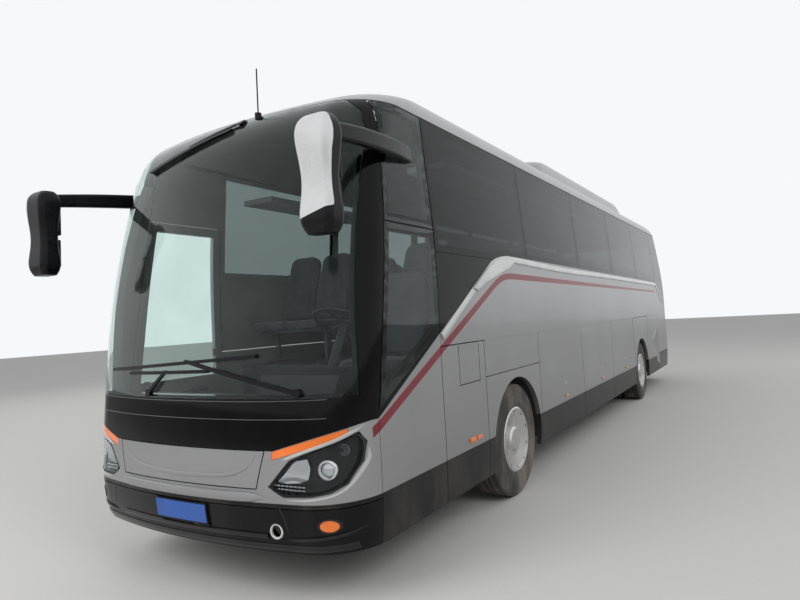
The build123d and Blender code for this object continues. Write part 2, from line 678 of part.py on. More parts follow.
lug_form = envelope(BODY_LEVELS, WALL + RUNNING)
for label, front, rear, top, post, hang, seat in DOORS:
    glass_low = DOOR_GLASS_LOW[label]
    with BuildPart() as door_skin:
        with BuildSketch(side_plane(RIGHT)):
            Polygon(*door_outline(label, front, rear, top, 0, DOOR_SILL_Z), align=None)
            Polygon(*door_outline(label, front, rear, top, DOOR_FRAME, glass_low + DOOR_FRAME),
                    align=None, mode=Mode.SUBTRACT)
        extrude(amount=SIDE_DEPTH)
        add(wall_skin, mode=Mode.INTERSECT)
    with BuildPart() as pane:
        with BuildSketch(side_plane(RIGHT)):
            Polygon(*door_outline(label, front, rear, top, 22, glass_low), align=None)
        extrude(amount=SIDE_DEPTH)
        add(glass_skin, mode=Mode.INTERSECT)
    with BuildPart() as lugs:
        for level in ARM_LEVELS:
            inside = -POST_Y - LUG_W / 2
            block(hang - LUG_W / 2, hang + LUG_W / 2, -BODY_HALF + 35, -inside, level + ARM_T + RUNNING,
                  level + ARM_T + RUNNING + LUG_T)
        add(lug_form, mode=Mode.INTERSECT)
        for level in ARM_LEVELS:
            with Locations((X_AXLE + hang, POST_Y, level + ARM_T + LUG_T)):
                Cylinder(PIN_R + RUNNING, 4 * LUG_T, mode=Mode.SUBTRACT)
    with BuildPart() as door:
        add(door_skin.part)
        add(pane.part, mode=Mode.SUBTRACT)
        add(lugs.part)
    save(door.part, label)
    save(pane.part, f"{label}_glass")
    with BuildPart() as arm:
        with Locations((X_AXLE + post, POST_Y, seat + RUNNING)):
            Cylinder(POST_R, POST_H, align=(Align.CENTER, Align.CENTER, Align.MIN))
        for level in ARM_LEVELS:
            block(min(post, hang), max(post, hang), POST_Y - ARM_W / 2, POST_Y + ARM_W / 2, level, level + ARM_T)
            with Locations((X_AXLE + hang, POST_Y, level)):
                Cylinder(ARM_W / 2, ARM_T, align=(Align.CENTER, Align.CENTER, Align.MIN))
                Cylinder(PIN_R, ARM_T + LUG_T, align=(Align.CENTER, Align.CENTER, Align.MIN))
    save(arm.part, f"{label}_arm")

# Tail: corner panel, bumper, lid, window and lamps
TAIL_LID = (920, 715, 1690)
TAIL_WINDOW = (1010, 2230, 3080)
TAIL_BUMPER_Z = 690
TAIL_LAMPS = [(1010, 900), (1120, 930), (1150, 1180), (1128, 1560), (1040, 1600)]
TAIL_LAMP_GAP = 5
TAIL_EDGE = S_TAIL_SEAM - HALF_GAP


def tail_region(low, high):
    """Side view area behind the tail seam."""
    with BuildSketch() as area:
        Polygon(
            (TAIL_EDGE, low), (-12000, low), (-12000, high), (CORNER_S, high), (CORNER_S, GROOVE_Z),
            (TAIL_EDGE, GROOVE_Z), align=None,
        )
    return area.sketch


def rectangle_outline(half, low, high):
    """Corner points of a centred rectangle of the end view."""
    return [(-half, low), (half, low), (half, high), (-half, high)]


lid_outline = rectangle_outline(*TAIL_LID)
window_outline = rectangle_outline(*TAIL_WINDOW)
lamp_outlines = [[(side * across, height) for across, height in TAIL_LAMPS] for side in (LEFT, RIGHT)]
with BuildPart() as tail_panel:
    with BuildSketch(side_plane(LEFT)):
        add(tail_region(TAIL_BUMPER_Z + PANEL_GAP, ROOF_SPLIT_Z))
    extrude(amount=2 * BODY_HALF + 120)
    add(wall_skin, mode=Mode.INTERSECT)
    with BuildSketch(end_plane(-12000)):
        add(grown(lid_outline, -LIP))
        add(grown(window_outline, -GLASS_LIP))
    extrude(amount=3100, mode=Mode.SUBTRACT)
    add(pressed(grown(lid_outline, PANEL_GAP), -12000, 3100, flap_pocket), mode=Mode.SUBTRACT)
    add(pressed(grown(window_outline, SCREEN_GAP), -12000, 3100, glass_pocket), mode=Mode.SUBTRACT)
    for outline in lamp_outlines:
        add(pressed(grown(outline, TAIL_LAMP_GAP), -12000, 3100, lamp_pocket), mode=Mode.SUBTRACT)
save(tail_panel.part, "tail_panel")

with BuildPart() as tail_bumper:
    with BuildSketch(side_plane(LEFT)):
        Polygon((TAIL_EDGE, SKIRT_Z), (-12000, SKIRT_Z), (-12000, TAIL_BUMPER_Z), (TAIL_EDGE, TAIL_BUMPER_Z),
                align=None)
    extrude(amount=2 * BODY_HALF + 120)
    add(wall_skin, mode=Mode.INTERSECT)
    with BuildSketch(end_plane(-12000)):
        with Locations((0, TOW_REAR_Z)):
            Circle(TOW_OPENING_R + 20)
    extrude(amount=3100, mode=Mode.SUBTRACT)
save(tail_bumper.part, "tail_bumper")

save(pressed(grown(lid_outline, 0), -12000, 3100, flap_skin), "engine_lid")
save(pressed(grown(window_outline, 0), -12000, 3100, glass_skin), "tail_window")
with BuildPart() as tail_lamps:
    for outline in lamp_outlines:
        add(pressed(grown(outline, 0), -12000, 3100, lamp_skin))
save(tail_lamps.part, "tail_lamps")

# Roof cap with two hatches and the cooling unit
HATCH_STATIONS = {"hatch_front": -1000, "hatch_rear": -7700}
HATCH_LONG = 760
HATCH_HALF = 340
HATCH_T = 32
HATCH_LAP = 40
roof_form = envelope(ROOF_LEVELS, 0)
with BuildPart() as roof:
    add(roof_form)
    add(envelope(ROOF_LEVELS, WALL, drop=WALL - 4), mode=Mode.SUBTRACT)
    for station in HATCH_STATIONS.values():
        with Locations((X_AXLE + station, 0, ROOF_TOP_Z)):
            Box(HATCH_LONG - 2 * HATCH_LAP, 2 * (HATCH_HALF - HATCH_LAP), 200, mode=Mode.SUBTRACT)
save(roof.part, "roof")
for label, station in HATCH_STATIONS.items():
    with BuildPart() as hatch:
        with BuildSketch(deck_plane(ROOF_TOP_Z + RUNNING)):
            with Locations((station, 0)):
                RectangleRounded(HATCH_LONG, 2 * HATCH_HALF, 60)
        extrude(amount=HATCH_T)
        chamfer(hatch.faces().sort_by(Axis.Z)[-1].edges(), 10)
    save(hatch.part, label)

# Levels of the cooling unit: height, front station, rear station, half width
UNIT_LEVELS = [
    (3440, -1900, -6950, 930),
    (3640, -2050, -6850, 880),
    (3735, -2350, -6600, 800),
    (3770, -2800, -6250, 640),
]
with BuildPart() as cooling_unit:
    for height, front, rear, half in UNIT_LEVELS:
        with BuildSketch(deck_plane(height)):
            with Locations(((front + rear) / 2, 0)):
                RectangleRounded(front - rear, 2 * half, 260)
    loft()
    add(roof_form, mode=Mode.SUBTRACT)
save(cooling_unit.part, "cooling_unit")

# Inside: deck, driver's platform and the two stairwells
DECK_FRONT = 1050
DECK_REAR = -8800
PLATFORM_EDGE_Y = -200
STAIR_PLATE = 25
FRONT_STEPS = (400, 600, 800)
MID_STEPS = (400, 632, 864, 1097)
FRONT_TREAD = 330
MID_TREAD = 215


DOOR_CLEAR = 18
STAIR_FOOT = 8
with BuildPart() as doorways:
    for (front, rear), top in ((FRONT_DOOR, FRONT_DOOR_TOP), (MID_DOOR, MID_DOOR_TOP)):
        with BuildSketch(side_plane(RIGHT)):
            span(rear - PANEL_GAP, front + PANEL_GAP, 0, top)
        extrude(amount=SIDE_DEPTH)
    add(envelope(BODY_LEVELS, WALL + DOOR_CLEAR), mode=Mode.SUBTRACT)


def stairs(front, rear, levels, tread, top, seat_y):
    """Folded plate stairs that climb inwards from the right wall, between two stations."""
    y_low = -BODY_HALF + WALL + STAIR_FOOT
    for number, level in enumerate(levels):
        inner = y_low + tread * (number + 1) if number < len(levels) - 1 else seat_y
        outer = y_low if number == 0 else y_low + tread * number - STAIR_PLATE
        block(rear, front, outer, inner, level - STAIR_PLATE, level)
        rise = levels[number + 1] if number < len(levels) - 1 else top
        block(rear, front, inner - STAIR_PLATE, inner, level - STAIR_PLATE, rise)


MID_TOP_Y = -BODY_HALF + WALL + STAIR_FOOT + MID_TREAD * len(MID_STEPS)
FRONT_STAIR = (S_MASK - 40, FRONT_DOOR[1])
with BuildPart() as cabin_floor:
    block(DECK_REAR, DECK_FRONT, -BODY_HALF, BODY_HALF, DECK_Z - DECK_T, DECK_Z)
    block(MID_DOOR[1] - RUNNING, MID_DOOR[0] + RUNNING, -BODY_HALF, MID_TOP_Y + RUNNING, DECK_Z - 100, DECK_Z + 100,
          mode=Mode.SUBTRACT)
    block(DECK_FRONT - STAIR_PLATE, DECK_FRONT, -BODY_HALF, BODY_HALF, PLATFORM_Z - DECK_T, DECK_Z)
    block(DECK_FRONT - STAIR_PLATE, 2460, PLATFORM_EDGE_Y, BODY_HALF, PLATFORM_Z - DECK_T, PLATFORM_Z)
    block(DECK_FRONT - STAIR_PLATE, FRONT_STAIR[1] - RUNNING, -BODY_HALF, PLATFORM_EDGE_Y, PLATFORM_Z - DECK_T,
          PLATFORM_Z)
    add(inner_form, mode=Mode.INTERSECT)
    add(doorways.part, mode=Mode.SUBTRACT)
save(cabin_floor.part, "cabin_floor")

with BuildPart() as mid_stair:
    stairs(*MID_DOOR, MID_STEPS, MID_TREAD, DECK_Z, MID_TOP_Y)
    for wall in (MID_DOOR[0] - STAIR_PLATE, MID_DOOR[1]):
        block(wall, wall + STAIR_PLATE, -BODY_HALF, MID_TOP_Y, MID_STEPS[0] - STAIR_PLATE, DECK_Z)
with BuildPart() as front_stair:
    stair_edge = PLATFORM_EDGE_Y - RUNNING
    stairs(*FRONT_STAIR, FRONT_STEPS, FRONT_TREAD, PLATFORM_Z, stair_edge)
    second_riser = -BODY_HALF + WALL + STAIR_FOOT + 2 * FRONT_TREAD
    for wall in (FRONT_STAIR[0] - STAIR_PLATE, FRONT_STAIR[1]):
        block(wall, wall + STAIR_PLATE, -BODY_HALF, second_riser, FRONT_STEPS[0] - STAIR_PLATE, PLATFORM_Z)
        block(wall, wall + STAIR_PLATE, second_riser, stair_edge, FRONT_STEPS[2] - STAIR_PLATE, PLATFORM_Z)
with BuildPart() as stair_wells:
    add(mid_stair.part)
    add(front_stair.part)
    add(inner_form, mode=Mode.INTERSECT)
    add(doorways.part, mode=Mode.SUBTRACT)
save(stair_wells.part, "stairs")

# Luggage hold between the axles
HOLD_FRONT = -690
BULKHEAD = 20
with BuildPart() as hold_floor:
    block(S_HOLD_REAR + 60, HOLD_FRONT, -HOLD_HALF, HOLD_HALF, HOLD_Z - HOLD_T, HOLD_Z)
    for station in (HOLD_FRONT - BULKHEAD, S_HOLD_REAR + 60):
        block(station, station + BULKHEAD, -HOLD_HALF, HOLD_HALF, HOLD_Z - HOLD_T, DECK_Z - DECK_T)
    block(MID_DOOR[1], MID_DOOR[0], -BODY_HALF, MID_TOP_Y, 0, DECK_Z, mode=Mode.SUBTRACT)
save(hold_floor.part, "hold_floor")

# Wheel housings, half round over each wheel and open below
HOUSING_LOW_Z = SKIRT_Z + 60
AXLE_SLOT_HALF = 110
AXLE_SLOT_TOP = 625
# Axle station, inner radius, inner wall distance from the centre
HOUSINGS = [(0, HOUSING_R, HOUSING_INNER_Y), (-WHEELBASE, 600, 560)]
housing_solids = []
for station, radius, inner_y in HOUSINGS:
    for side in (LEFT, RIGHT):
        with BuildPart() as housing:
            outward = side * (BODY_HALF - WALL - inner_y)
            inside = side * (inner_y + HOUSING_WALL / 2)
            for size, start, mode in ((radius + HOUSING_WALL, 0, Mode.ADD), (radius, HOUSING_WALL, Mode.SUBTRACT)):
                plane = Plane(
                    origin=(X_AXLE + station, side * (inner_y + start), 0), x_dir=(1, 0, 0), z_dir=(0, -1, 0),
                )
                with BuildSketch(plane):
                    with Locations((0, TYRE_R)):
                        Circle(size)
                    span(-size, size, HOUSING_LOW_Z - (10 if start else 0), TYRE_R)
                    span(-size, size, 0, HOUSING_LOW_Z - (10 if start else 0), mode=Mode.SUBTRACT)
                extrude(amount=-side * (abs(outward) + 30), mode=mode)
            add(inner_form, mode=Mode.INTERSECT)
            block(station - AXLE_SLOT_HALF, station + AXLE_SLOT_HALF, inside - HOUSING_WALL, inside + HOUSING_WALL,
                  0, AXLE_SLOT_TOP, mode=Mode.SUBTRACT)
        housing_solids.append(housing.part)
with BuildPart() as wheel_housings:
    add(housing_solids)
save(wheel_housings.part, "wheel_housings")

# Underframe rails, cross-members, posts and tow sockets
CROSS_W = 80
RAIL_TOP_Z = RAIL_Z + RAIL_H
FRONT_RAIL = (2300, HOLD_FRONT)
REAR_RAIL = (S_HOLD_REAR + 60, -8900)
POST_STATIONS = (820, -5500, -7050, -8700)
BRACKET_Y = 560
BRACKET_W = 60
BRACKET_Z = 560
with BuildPart() as bumper_arms:
    for end_station, reach in ((FRONT_RAIL[0], 1), (REAR_RAIL[1], -1)):
        near, far = sorted((end_station - reach * CROSS_W, end_station + reach * 1000))
        for side in (LEFT, RIGHT):
            block(near, far, side * BRACKET_Y - BRACKET_W / 2, side * BRACKET_Y + BRACKET_W / 2, BRACKET_Z,
                  RAIL_Z)
    add(inner_form, mode=Mode.INTERSECT)
with BuildPart() as chassis_frame:
    for front, rear in (FRONT_RAIL, REAR_RAIL):
        for side in (LEFT, RIGHT):
            block(rear, front, side * RAIL_Y - RAIL_W / 2, side * RAIL_Y + RAIL_W / 2, RAIL_Z, RAIL_TOP_Z)
    for station in (FRONT_RAIL[0], REAR_RAIL[1] + CROSS_W):
        block(station - CROSS_W, station, -1000, 1000, RAIL_Z, RAIL_TOP_Z)
    for station in POST_STATIONS:
        for side in (LEFT, RIGHT):
            top = PLATFORM_Z - DECK_T if station > DECK_FRONT else DECK_Z - DECK_T
            block(station - 40, station + 40, side * RAIL_Y - 40, side * RAIL_Y + 40, RAIL_TOP_Z, top)
    with Locations((X_AXLE + FRONT_RAIL[0], TOW_FRONT_Y, TOW_FRONT_Z)):
        Cylinder(TOW_TUBE_R, TOW_LENGTH, rotation=(0, 90, 0), align=(Align.CENTER, Align.CENTER, Align.MIN))
        Cylinder(TOW_BORE_R, TOW_LENGTH, rotation=(0, 90, 0), align=(Align.CENTER, Align.CENTER, Align.MIN),
                 mode=Mode.SUBTRACT)
    block(FRONT_RAIL[0] - CROSS_W, FRONT_RAIL[0], TOW_FRONT_Y - 60, TOW_FRONT_Y + 60, TOW_FRONT_Z - 60, RAIL_Z)
    add(bumper_arms.part)
    rear_end = REAR_RAIL[1]
    block(rear_end, rear_end + CROSS_W, -60, 60, TOW_REAR_Z - 60, RAIL_Z)
    with Locations((X_AXLE + rear_end, 0, TOW_REAR_Z)):
        Cylinder(TOW_TUBE_R, 2 * TOW_LENGTH, rotation=(0, -90, 0), align=(Align.CENTER, Align.CENTER, Align.MIN))
        Cylinder(TOW_BORE_R, 2 * TOW_LENGTH, rotation=(0, -90, 0), align=(Align.CENTER, Align.CENTER, Align.MIN),
                 mode=Mode.SUBTRACT)
save(chassis_frame.part, "chassis_frame")

# Front axle beam with kingpin eyes
BEAM_LOW_Z = 395
BEAM_H = 90
BEAM_W = 100
EYE_R = 52
EYE_H = 120
PAD = 80
with BuildPart() as front_axle:
    block(-BEAM_W / 2, BEAM_W / 2, -KINGPIN_Y + 105, KINGPIN_Y - 105, BEAM_LOW_Z, BEAM_LOW_Z + BEAM_H)
    for side in (LEFT, RIGHT):
        near, far = sorted((side * (KINGPIN_Y - 135), side * (KINGPIN_Y - 75)))
        block(-BEAM_W / 2, BEAM_W / 2, near, far, BEAM_LOW_Z, TYRE_R + 55)
        near, far = sorted((side * (KINGPIN_Y - 85), side * (KINGPIN_Y - 25)))
        block(-40, 40, near, far, TYRE_R - 55, TYRE_R + 55)
        with Locations((X_AXLE, side * KINGPIN_Y, TYRE_R)):
            Cylinder(EYE_R, EYE_H)
            Cylinder(KINGPIN_R + RUNNING, EYE_H, mode=Mode.SUBTRACT)
        near, far = sorted((side * RAIL_Y - PAD / 2, side * RAIL_Y + PAD / 2))
        block(-PAD / 2, PAD / 2, near, far, BEAM_LOW_Z + BEAM_H, RAIL_Z)
save(front_axle.part, "front_axle")

LUG_H = 30
WEB_Y = 60
WEB_T = 40
SPINDLE_TIP = 270
for side, tag in ((LEFT, "left"), (RIGHT, "right")):
    with BuildPart() as knuckle:
        for low in (TYRE_R + EYE_H / 2 + RUNNING, TYRE_R - EYE_H / 2 - RUNNING - LUG_H):
            near, far = sorted((side * (KINGPIN_Y - 45), side * (KINGPIN_Y + WEB_Y + WEB_T)))
            block(-45, 45, near, far, low, low + LUG_H)
        with Locations((X_AXLE, side * KINGPIN_Y, TYRE_R)):
            Cylinder(KINGPIN_R, EYE_H + 2 * LUG_H)
        near, far = sorted((side * (KINGPIN_Y + WEB_Y), side * (KINGPIN_Y + WEB_Y + WEB_T)))
        block(-45, 45, near, far, TYRE_R - EYE_H / 2 - LUG_H, TYRE_R + EYE_H / 2 + LUG_H)
        with Locations((X_AXLE, side * (KINGPIN_Y + WEB_Y), TYRE_R)):
            Cylinder(SPINDLE_R, SPINDLE_TIP - WEB_Y, rotation=(-side * 90, 0, 0),
                     align=(Align.CENTER, Align.CENTER, Align.MIN))
    save(knuckle.part, f"knuckle_{tag}")

# Rear axle tube, differential and rail pads
AXLE_TUBE_R = 62
DIFF_R = 190
AXLE_TIP_Y = 1150
with BuildPart() as rear_axle:
    with Locations((X_AXLE_REAR, 0, TYRE_R)):
        Cylinder(AXLE_TUBE_R, 2 * AXLE_TIP_Y, rotation=(90, 0, 0))
        Sphere(DIFF_R)
    for side in (LEFT, RIGHT):
        near, far = sorted((side * RAIL_Y - PAD / 2, side * RAIL_Y + PAD / 2))
        block(-WHEELBASE - PAD / 2, -WHEELBASE + PAD / 2, near, far, TYRE_R - AXLE_TUBE_R - 20, RAIL_Z)
save(rear_axle.part, "rear_axle")

# Wheels: tyres, rims with round covers
SHOULDER = 40
BEAD_R = RIM_R
BARREL_HALF = 140
DISC_T = 16
HUB_IN = 75
# Cover section: radius, distance out from the wheel's middle plane
COVER_FACE = [(0, 130), (96, 130), (116, 112), (150, 112), (250, 132), (284, 142), (298, 136)]
COVER_BACK = [(298, 129), (282, 129), (250, 120), (150, 100), (106, 100), (88, 118), (0, 118)]


def wheel_plane(x, y, side):
    """Sketch plane through the wheel axis: sketch x is the radius, sketch y runs outwards."""
    return Plane(origin=(x, y, TYRE_R), x_dir=(1, 0, 0), z_dir=(0, 0, side))


def tyre_profile():
    """Half section of a road tyre with rounded shoulders and bulged sidewalls."""
    half = TYRE_W / 2
    with BuildSketch() as section:
        with BuildLine():
            Line((BEAD_R, -BARREL_HALF + 22), (BEAD_R, BARREL_HALF - 22))
            ThreePointArc((BEAD_R, BARREL_HALF - 22), (BEAD_R + 95, half), (TYRE_R - SHOULDER, half - 22))
            ThreePointArc((TYRE_R - SHOULDER, half - 22), (TYRE_R - 10, half - 34), (TYRE_R, half - 62))
            Line((TYRE_R, half - 62), (TYRE_R, -half + 62))
            ThreePointArc((TYRE_R, -half + 62), (TYRE_R - 10, -half + 34), (TYRE_R - SHOULDER, -half + 22))
            ThreePointArc((TYRE_R - SHOULDER, -half + 22), (BEAD_R + 95, -half), (BEAD_R, -BARREL_HALF + 22))
        make_face()
    return section.sketch


# Wheel name, axle x, distances of the tyres, bore
WHEELS = [
    ("front", X_AXLE, (TRACK_HALF_FRONT,), SPINDLE_R + RUNNING, KINGPIN_Y + WEB_Y + WEB_T + RUNNING),
    ("rear", X_AXLE_REAR, (TRACK_HALF_FRONT, TWIN_INNER_Y), AXLE_TUBE_R + RUNNING, TWIN_INNER_Y - 95),
]
for name, x, distances, bore, hub_start in WHEELS:
    for side, tag in ((LEFT, "left"), (RIGHT, "right")):
        axis = Axis((x, 0, TYRE_R), (0, 1, 0))
        with BuildPart() as tyre:
            for distance in distances:
                with BuildSketch(wheel_plane(x, side * distance, side)):
                    add(tyre_profile())
            revolve(axis=axis)
        save(tyre.part, f"tyre_{name}_{tag}")
        with BuildPart() as rim:
            outer_y = distances[0]
            with BuildSketch(wheel_plane(x, 0, side)):
                for distance in distances:
                    span(RIM_R - RIM_WALL, RIM_R - RUNNING, distance - BARREL_HALF, distance + BARREL_HALF)
                span(HUB_R - 4, RIM_R - RIM_WALL + 2, outer_y + 40, outer_y + 40 + DISC_T)
                if name == "rear":
                    span(HUB_R - 4, RIM_R - RIM_WALL + 2, distances[1] + 40, distances[1] + 40 + DISC_T)
                span(bore, HUB_R, hub_start, outer_y + 92)
            revolve(axis=axis)
            with BuildSketch(wheel_plane(x, side * outer_y, side)):
                Polygon(*COVER_FACE, *COVER_BACK, align=None)
            revolve(axis=axis)
        save(rim.part, f"rim_{name}_{tag}")

# Engine at the tail, one plain block between the rails
with BuildPart() as engine_block:
    block(-8800, -7300, -RAIL_Y + RAIL_W / 2, RAIL_Y - RAIL_W / 2, 470, 1240)
save(engine_block.part, "engine_block")

# Door mirrors: housings on arms from the roof edge
MIRROR_Y = 1368
# Levels of a housing: height, front reach, rear reach, half width
MIRROR_LEVELS = [(2185, 2865, 2760, 84), (2245, 2888, 2742, 108), (2690, 2900, 2736, 116), (2785, 2888, 2742, 108),
                 (2825, 2858, 2762, 84)]
ARM_ROOT = (1700, 1236, 2868)
ARM_ELBOW = (2300, 1338, 2826)
ARM_TIP = (2800, MIRROR_Y, 2762)
ARM_SIZES = ((112, 60), (112, 60), (96, 48))
shell_solids = []
arm_solids = []
for side in (LEFT, RIGHT):
    with BuildPart() as shell:
        for height, front, rear, half in MIRROR_LEVELS:
            with BuildSketch(deck_plane(height)):
                with Locations(((front + rear) / 2, side * MIRROR_Y)):
                    RectangleRounded(front - rear, 2 * half, 40)
        loft()
    shell_solids.append(shell.part)
    with BuildPart() as mirror_arm:
        ends = (ARM_ROOT, ARM_ELBOW, ARM_TIP)
        for number, (station, across, height) in enumerate(ends):
            before = ends[max(number - 1, 0)]
            after = ends[min(number + 1, 2)]
            direction = (after[0] - before[0], side * (after[1] - before[1]), after[2] - before[2])
            plane = Plane(origin=(X_AXLE + station, side * across, height), x_dir=(0, 0, 1), z_dir=direction)
            with BuildSketch(plane):
                high, wide = ARM_SIZES[number]
                RectangleRounded(high, wide, 20)
        loft()
        add(outer_form, mode=Mode.SUBTRACT)
        add(shell.part, mode=Mode.SUBTRACT)
    arm_solids.append(mirror_arm.part)
with BuildPart() as mirror_shells:
    add(shell_solids)
with BuildPart() as mirror_arms:
    add(arm_solids)
with BuildPart() as mirrors:
    add(mirror_shells.part)
    add(mirror_arms.part)
save(mirrors.part, "mirrors")

# Wipers: two across the lower screen and a short one at the top, blades on the glass, arms above it
WIPER_PROUD = 30
WIPER_LIFT = 12
BLADE_W = 22
PIVOT_R = 26
# Pivot, arm end, blade ends, all as distance from the centre and height
WIPERS = [
    ((944, 1300), (60, 1508), (-826, 1453), (642, 1528)),
    ((-330, 1300), (-150, 1440), (-561, 1430), (257, 1442)),
    ((181, 3190), (-250, 3072), (-700, 2953), (128, 3133)),
]


def strip(start, end, width):
    """Straight strip between two points of the end view."""
    length = math.dist(start, end)
    turn = math.degrees(math.atan2(end[1] - start[1], end[0] - start[0]))
    with Locations(Location(((start[0] + end[0]) / 2, (start[1] + end[1]) / 2, 0), (0, 0, turn))):
        SlotOverall(length + width, width)


wiper_form = envelope(BODY_LEVELS, -WIPER_PROUD)
with BuildPart() as blades:
    with BuildSketch(end_plane(1500)):
        for pivot, arm_end, blade_start, blade_end in WIPERS:
            strip(blade_start, blade_end, BLADE_W)
            with Locations(pivot):
                Circle(PIVOT_R)
    extrude(amount=1500)
    add(wiper_form, mode=Mode.INTERSECT)
    add(outer_form, mode=Mode.SUBTRACT)
with BuildPart() as wiper_arms:
    with BuildSketch(end_plane(1500)):
        for pivot, arm_end, blade_start, blade_end in WIPERS:
            strip(pivot, arm_end, BLADE_W)
    extrude(amount=1500)
    add(wiper_form, mode=Mode.INTERSECT)
    add(envelope(BODY_LEVELS, -WIPER_LIFT), mode=Mode.SUBTRACT)
with BuildPart() as wipers:
    add(blades.part)
    add(wiper_arms.part)
save(wipers.part, "wipers")

# Whip antenna over the windscreen
ANTENNA = (2190, 290)
ANTENNA_TOP_Z = 3580
with BuildPart() as antenna:
    with Locations((X_AXLE + ANTENNA[0], ANTENNA[1], 3150)):
        Cylinder(24, 100, align=(Align.CENTER, Align.CENTER, Align.MIN))
        Cylinder(5, ANTENNA_TOP_Z - 3150, align=(Align.CENTER, Align.CENTER, Align.MIN))
    add(outer_form, mode=Mode.SUBTRACT)
    add(roof_form, mode=Mode.SUBTRACT)
save(antenna.part, "antenna")

# Driver's place
DASH_REAR = 2225
DASH_TOP_Z = 1250
DRIVER_Y = 720
BINNACLE_HALF = 330
COLUMN_R = 34
WHEEL_STATION = 1850
WHEEL_Z = 1700
WHEEL_R = 225
WHEEL_TUBE_R = 16
COLUMN_LEAN = 62
with BuildPart() as dashboard:
    with BuildSketch(Plane(origin=(X_AXLE, BODY_HALF, 0), x_dir=(1, 0, 0), z_dir=(0, -1, 0))):
        Polygon(
            (DASH_REAR, PLATFORM_Z), (2800, PLATFORM_Z), (2800, DASH_TOP_Z - 30), (DASH_REAR + 120, DASH_TOP_Z),
            (DASH_REAR, DASH_TOP_Z - 70), align=None,
        )
    extrude(amount=2 * BODY_HALF)
    add(inner_form, mode=Mode.INTERSECT)
    add(doorways.part, mode=Mode.SUBTRACT)
    with BuildSketch(Plane(origin=(X_AXLE, DRIVER_Y + BINNACLE_HALF, 0), x_dir=(1, 0, 0), z_dir=(0, -1, 0))):
        Polygon(
            (DASH_REAR - 150, PLATFORM_Z + 130), (DASH_REAR + 200, PLATFORM_Z + 130),
            (DASH_REAR + 200, DASH_TOP_Z - 20), (DASH_REAR + 120, DASH_TOP_Z + 130),
            (DASH_REAR - 60, DASH_TOP_Z + 160), (DASH_REAR - 150, DASH_TOP_Z + 20), align=None,
        )
    extrude(amount=2 * BINNACLE_HALF)
    column = Plane(
        origin=(X_AXLE + WHEEL_STATION, DRIVER_Y, WHEEL_Z), x_dir=(0, 1, 0),
        z_dir=(math.sin(math.radians(90 - COLUMN_LEAN)), 0, -math.cos(math.radians(90 - COLUMN_LEAN))),
    )
    with BuildSketch(column.offset(40)):
        Circle(COLUMN_R)
    extrude(amount=570)
save(dashboard.part, "dashboard")

SPOKE_T = 20
with BuildPart() as steering_wheel:
    with BuildSketch(Plane(origin=column.origin, x_dir=column.z_dir, z_dir=column.x_dir)):
        with Locations((0, WHEEL_R)):
            Circle(WHEEL_TUBE_R)
    revolve(axis=Axis(column.origin, column.z_dir))
    with BuildSketch(column.offset(-SPOKE_T / 2)):
        Circle(60)
        for turn in (90, 210, 330):
            with Locations(Location((0, 0, 0), (0, 0, turn))):
                with Locations((WHEEL_R / 2, 0)):
                    Rectangle(WHEEL_R, 36)
    extrude(amount=SPOKE_T)
    with BuildSketch(column.offset(SPOKE_T / 2 - 1)):
        Circle(42)
    extrude(amount=40 - SPOKE_T / 2 + 1 - RUNNING)
save(steering_wheel.part, "steering_wheel")

# Seats, all from one side profile: station and height from the seat's place and floor
SEAT_PROFILE = [
    (240, 330), (240, 410), (-160, 415), (-330, 1080), (-370, 1105), (-425, 1095), (-290, 400), (-250, 330),
]
SEAT_WIDE = 430
SEAT_LEG = 40
DRIVER_STATION = 1400


def seat(station, across, floor, wide):
    """One seat on two legs that stand 0.3 mm above the floor."""
    with BuildPart() as chair:
        with BuildSketch(Plane(origin=(X_AXLE + station, across + wide / 2, floor), x_dir=(1, 0, 0), z_dir=(0, -1, 0))):
            Polygon(*SEAT_PROFILE, align=None)
        extrude(amount=wide)
        for offset_x in (-160, 140):
            with Locations((X_AXLE + station + offset_x, across, floor + RUNNING)):
                Box(SEAT_LEG, wide - 160, 340, align=(Align.CENTER, Align.CENTER, Align.MIN))
    return chair.part


save(seat(DRIVER_STATION, DRIVER_Y, PLATFORM_Z, 520), "driver_seat")

# Rows of double seats, each a pair on one frame
ROW_FIRST = 715
ROW_PITCH = 815
ROW_COUNT = 12
PAIR_Y = 744
STAIR_CLEAR = (-3560, -5330)
rows = []
for number in range(ROW_COUNT):
    station = ROW_FIRST - number * ROW_PITCH
    for side in (LEFT, RIGHT):
        if side == RIGHT and STAIR_CLEAR[1] < station < STAIR_CLEAR[0]:
            continue
        rows.append(seat(station, side * PAIR_Y, DECK_Z, 2 * SEAT_WIDE + PANEL_GAP))
with BuildPart() as passenger_seats:
    add(rows)
save(passenger_seats.part, "passenger_seats")

# Luggage racks along both walls
RACK = (2935, 2985, 790)
with BuildPart() as luggage_racks:
    for side in (LEFT, RIGHT):
        near, far = sorted((side * RACK[2], side * BODY_HALF))
        block(-8500, 1000, near, far, RACK[0], RACK[1])
    add(inner_form, mode=Mode.INTERSECT)
save(luggage_racks.part, "luggage_racks")
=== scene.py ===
import json
import logging
import math
from collections.abc import Callable
from dataclasses import dataclass
from enum import Enum

import bmesh
import bpy
from mathutils import Matrix, Vector
from mathutils.bvhtree import BVHTree

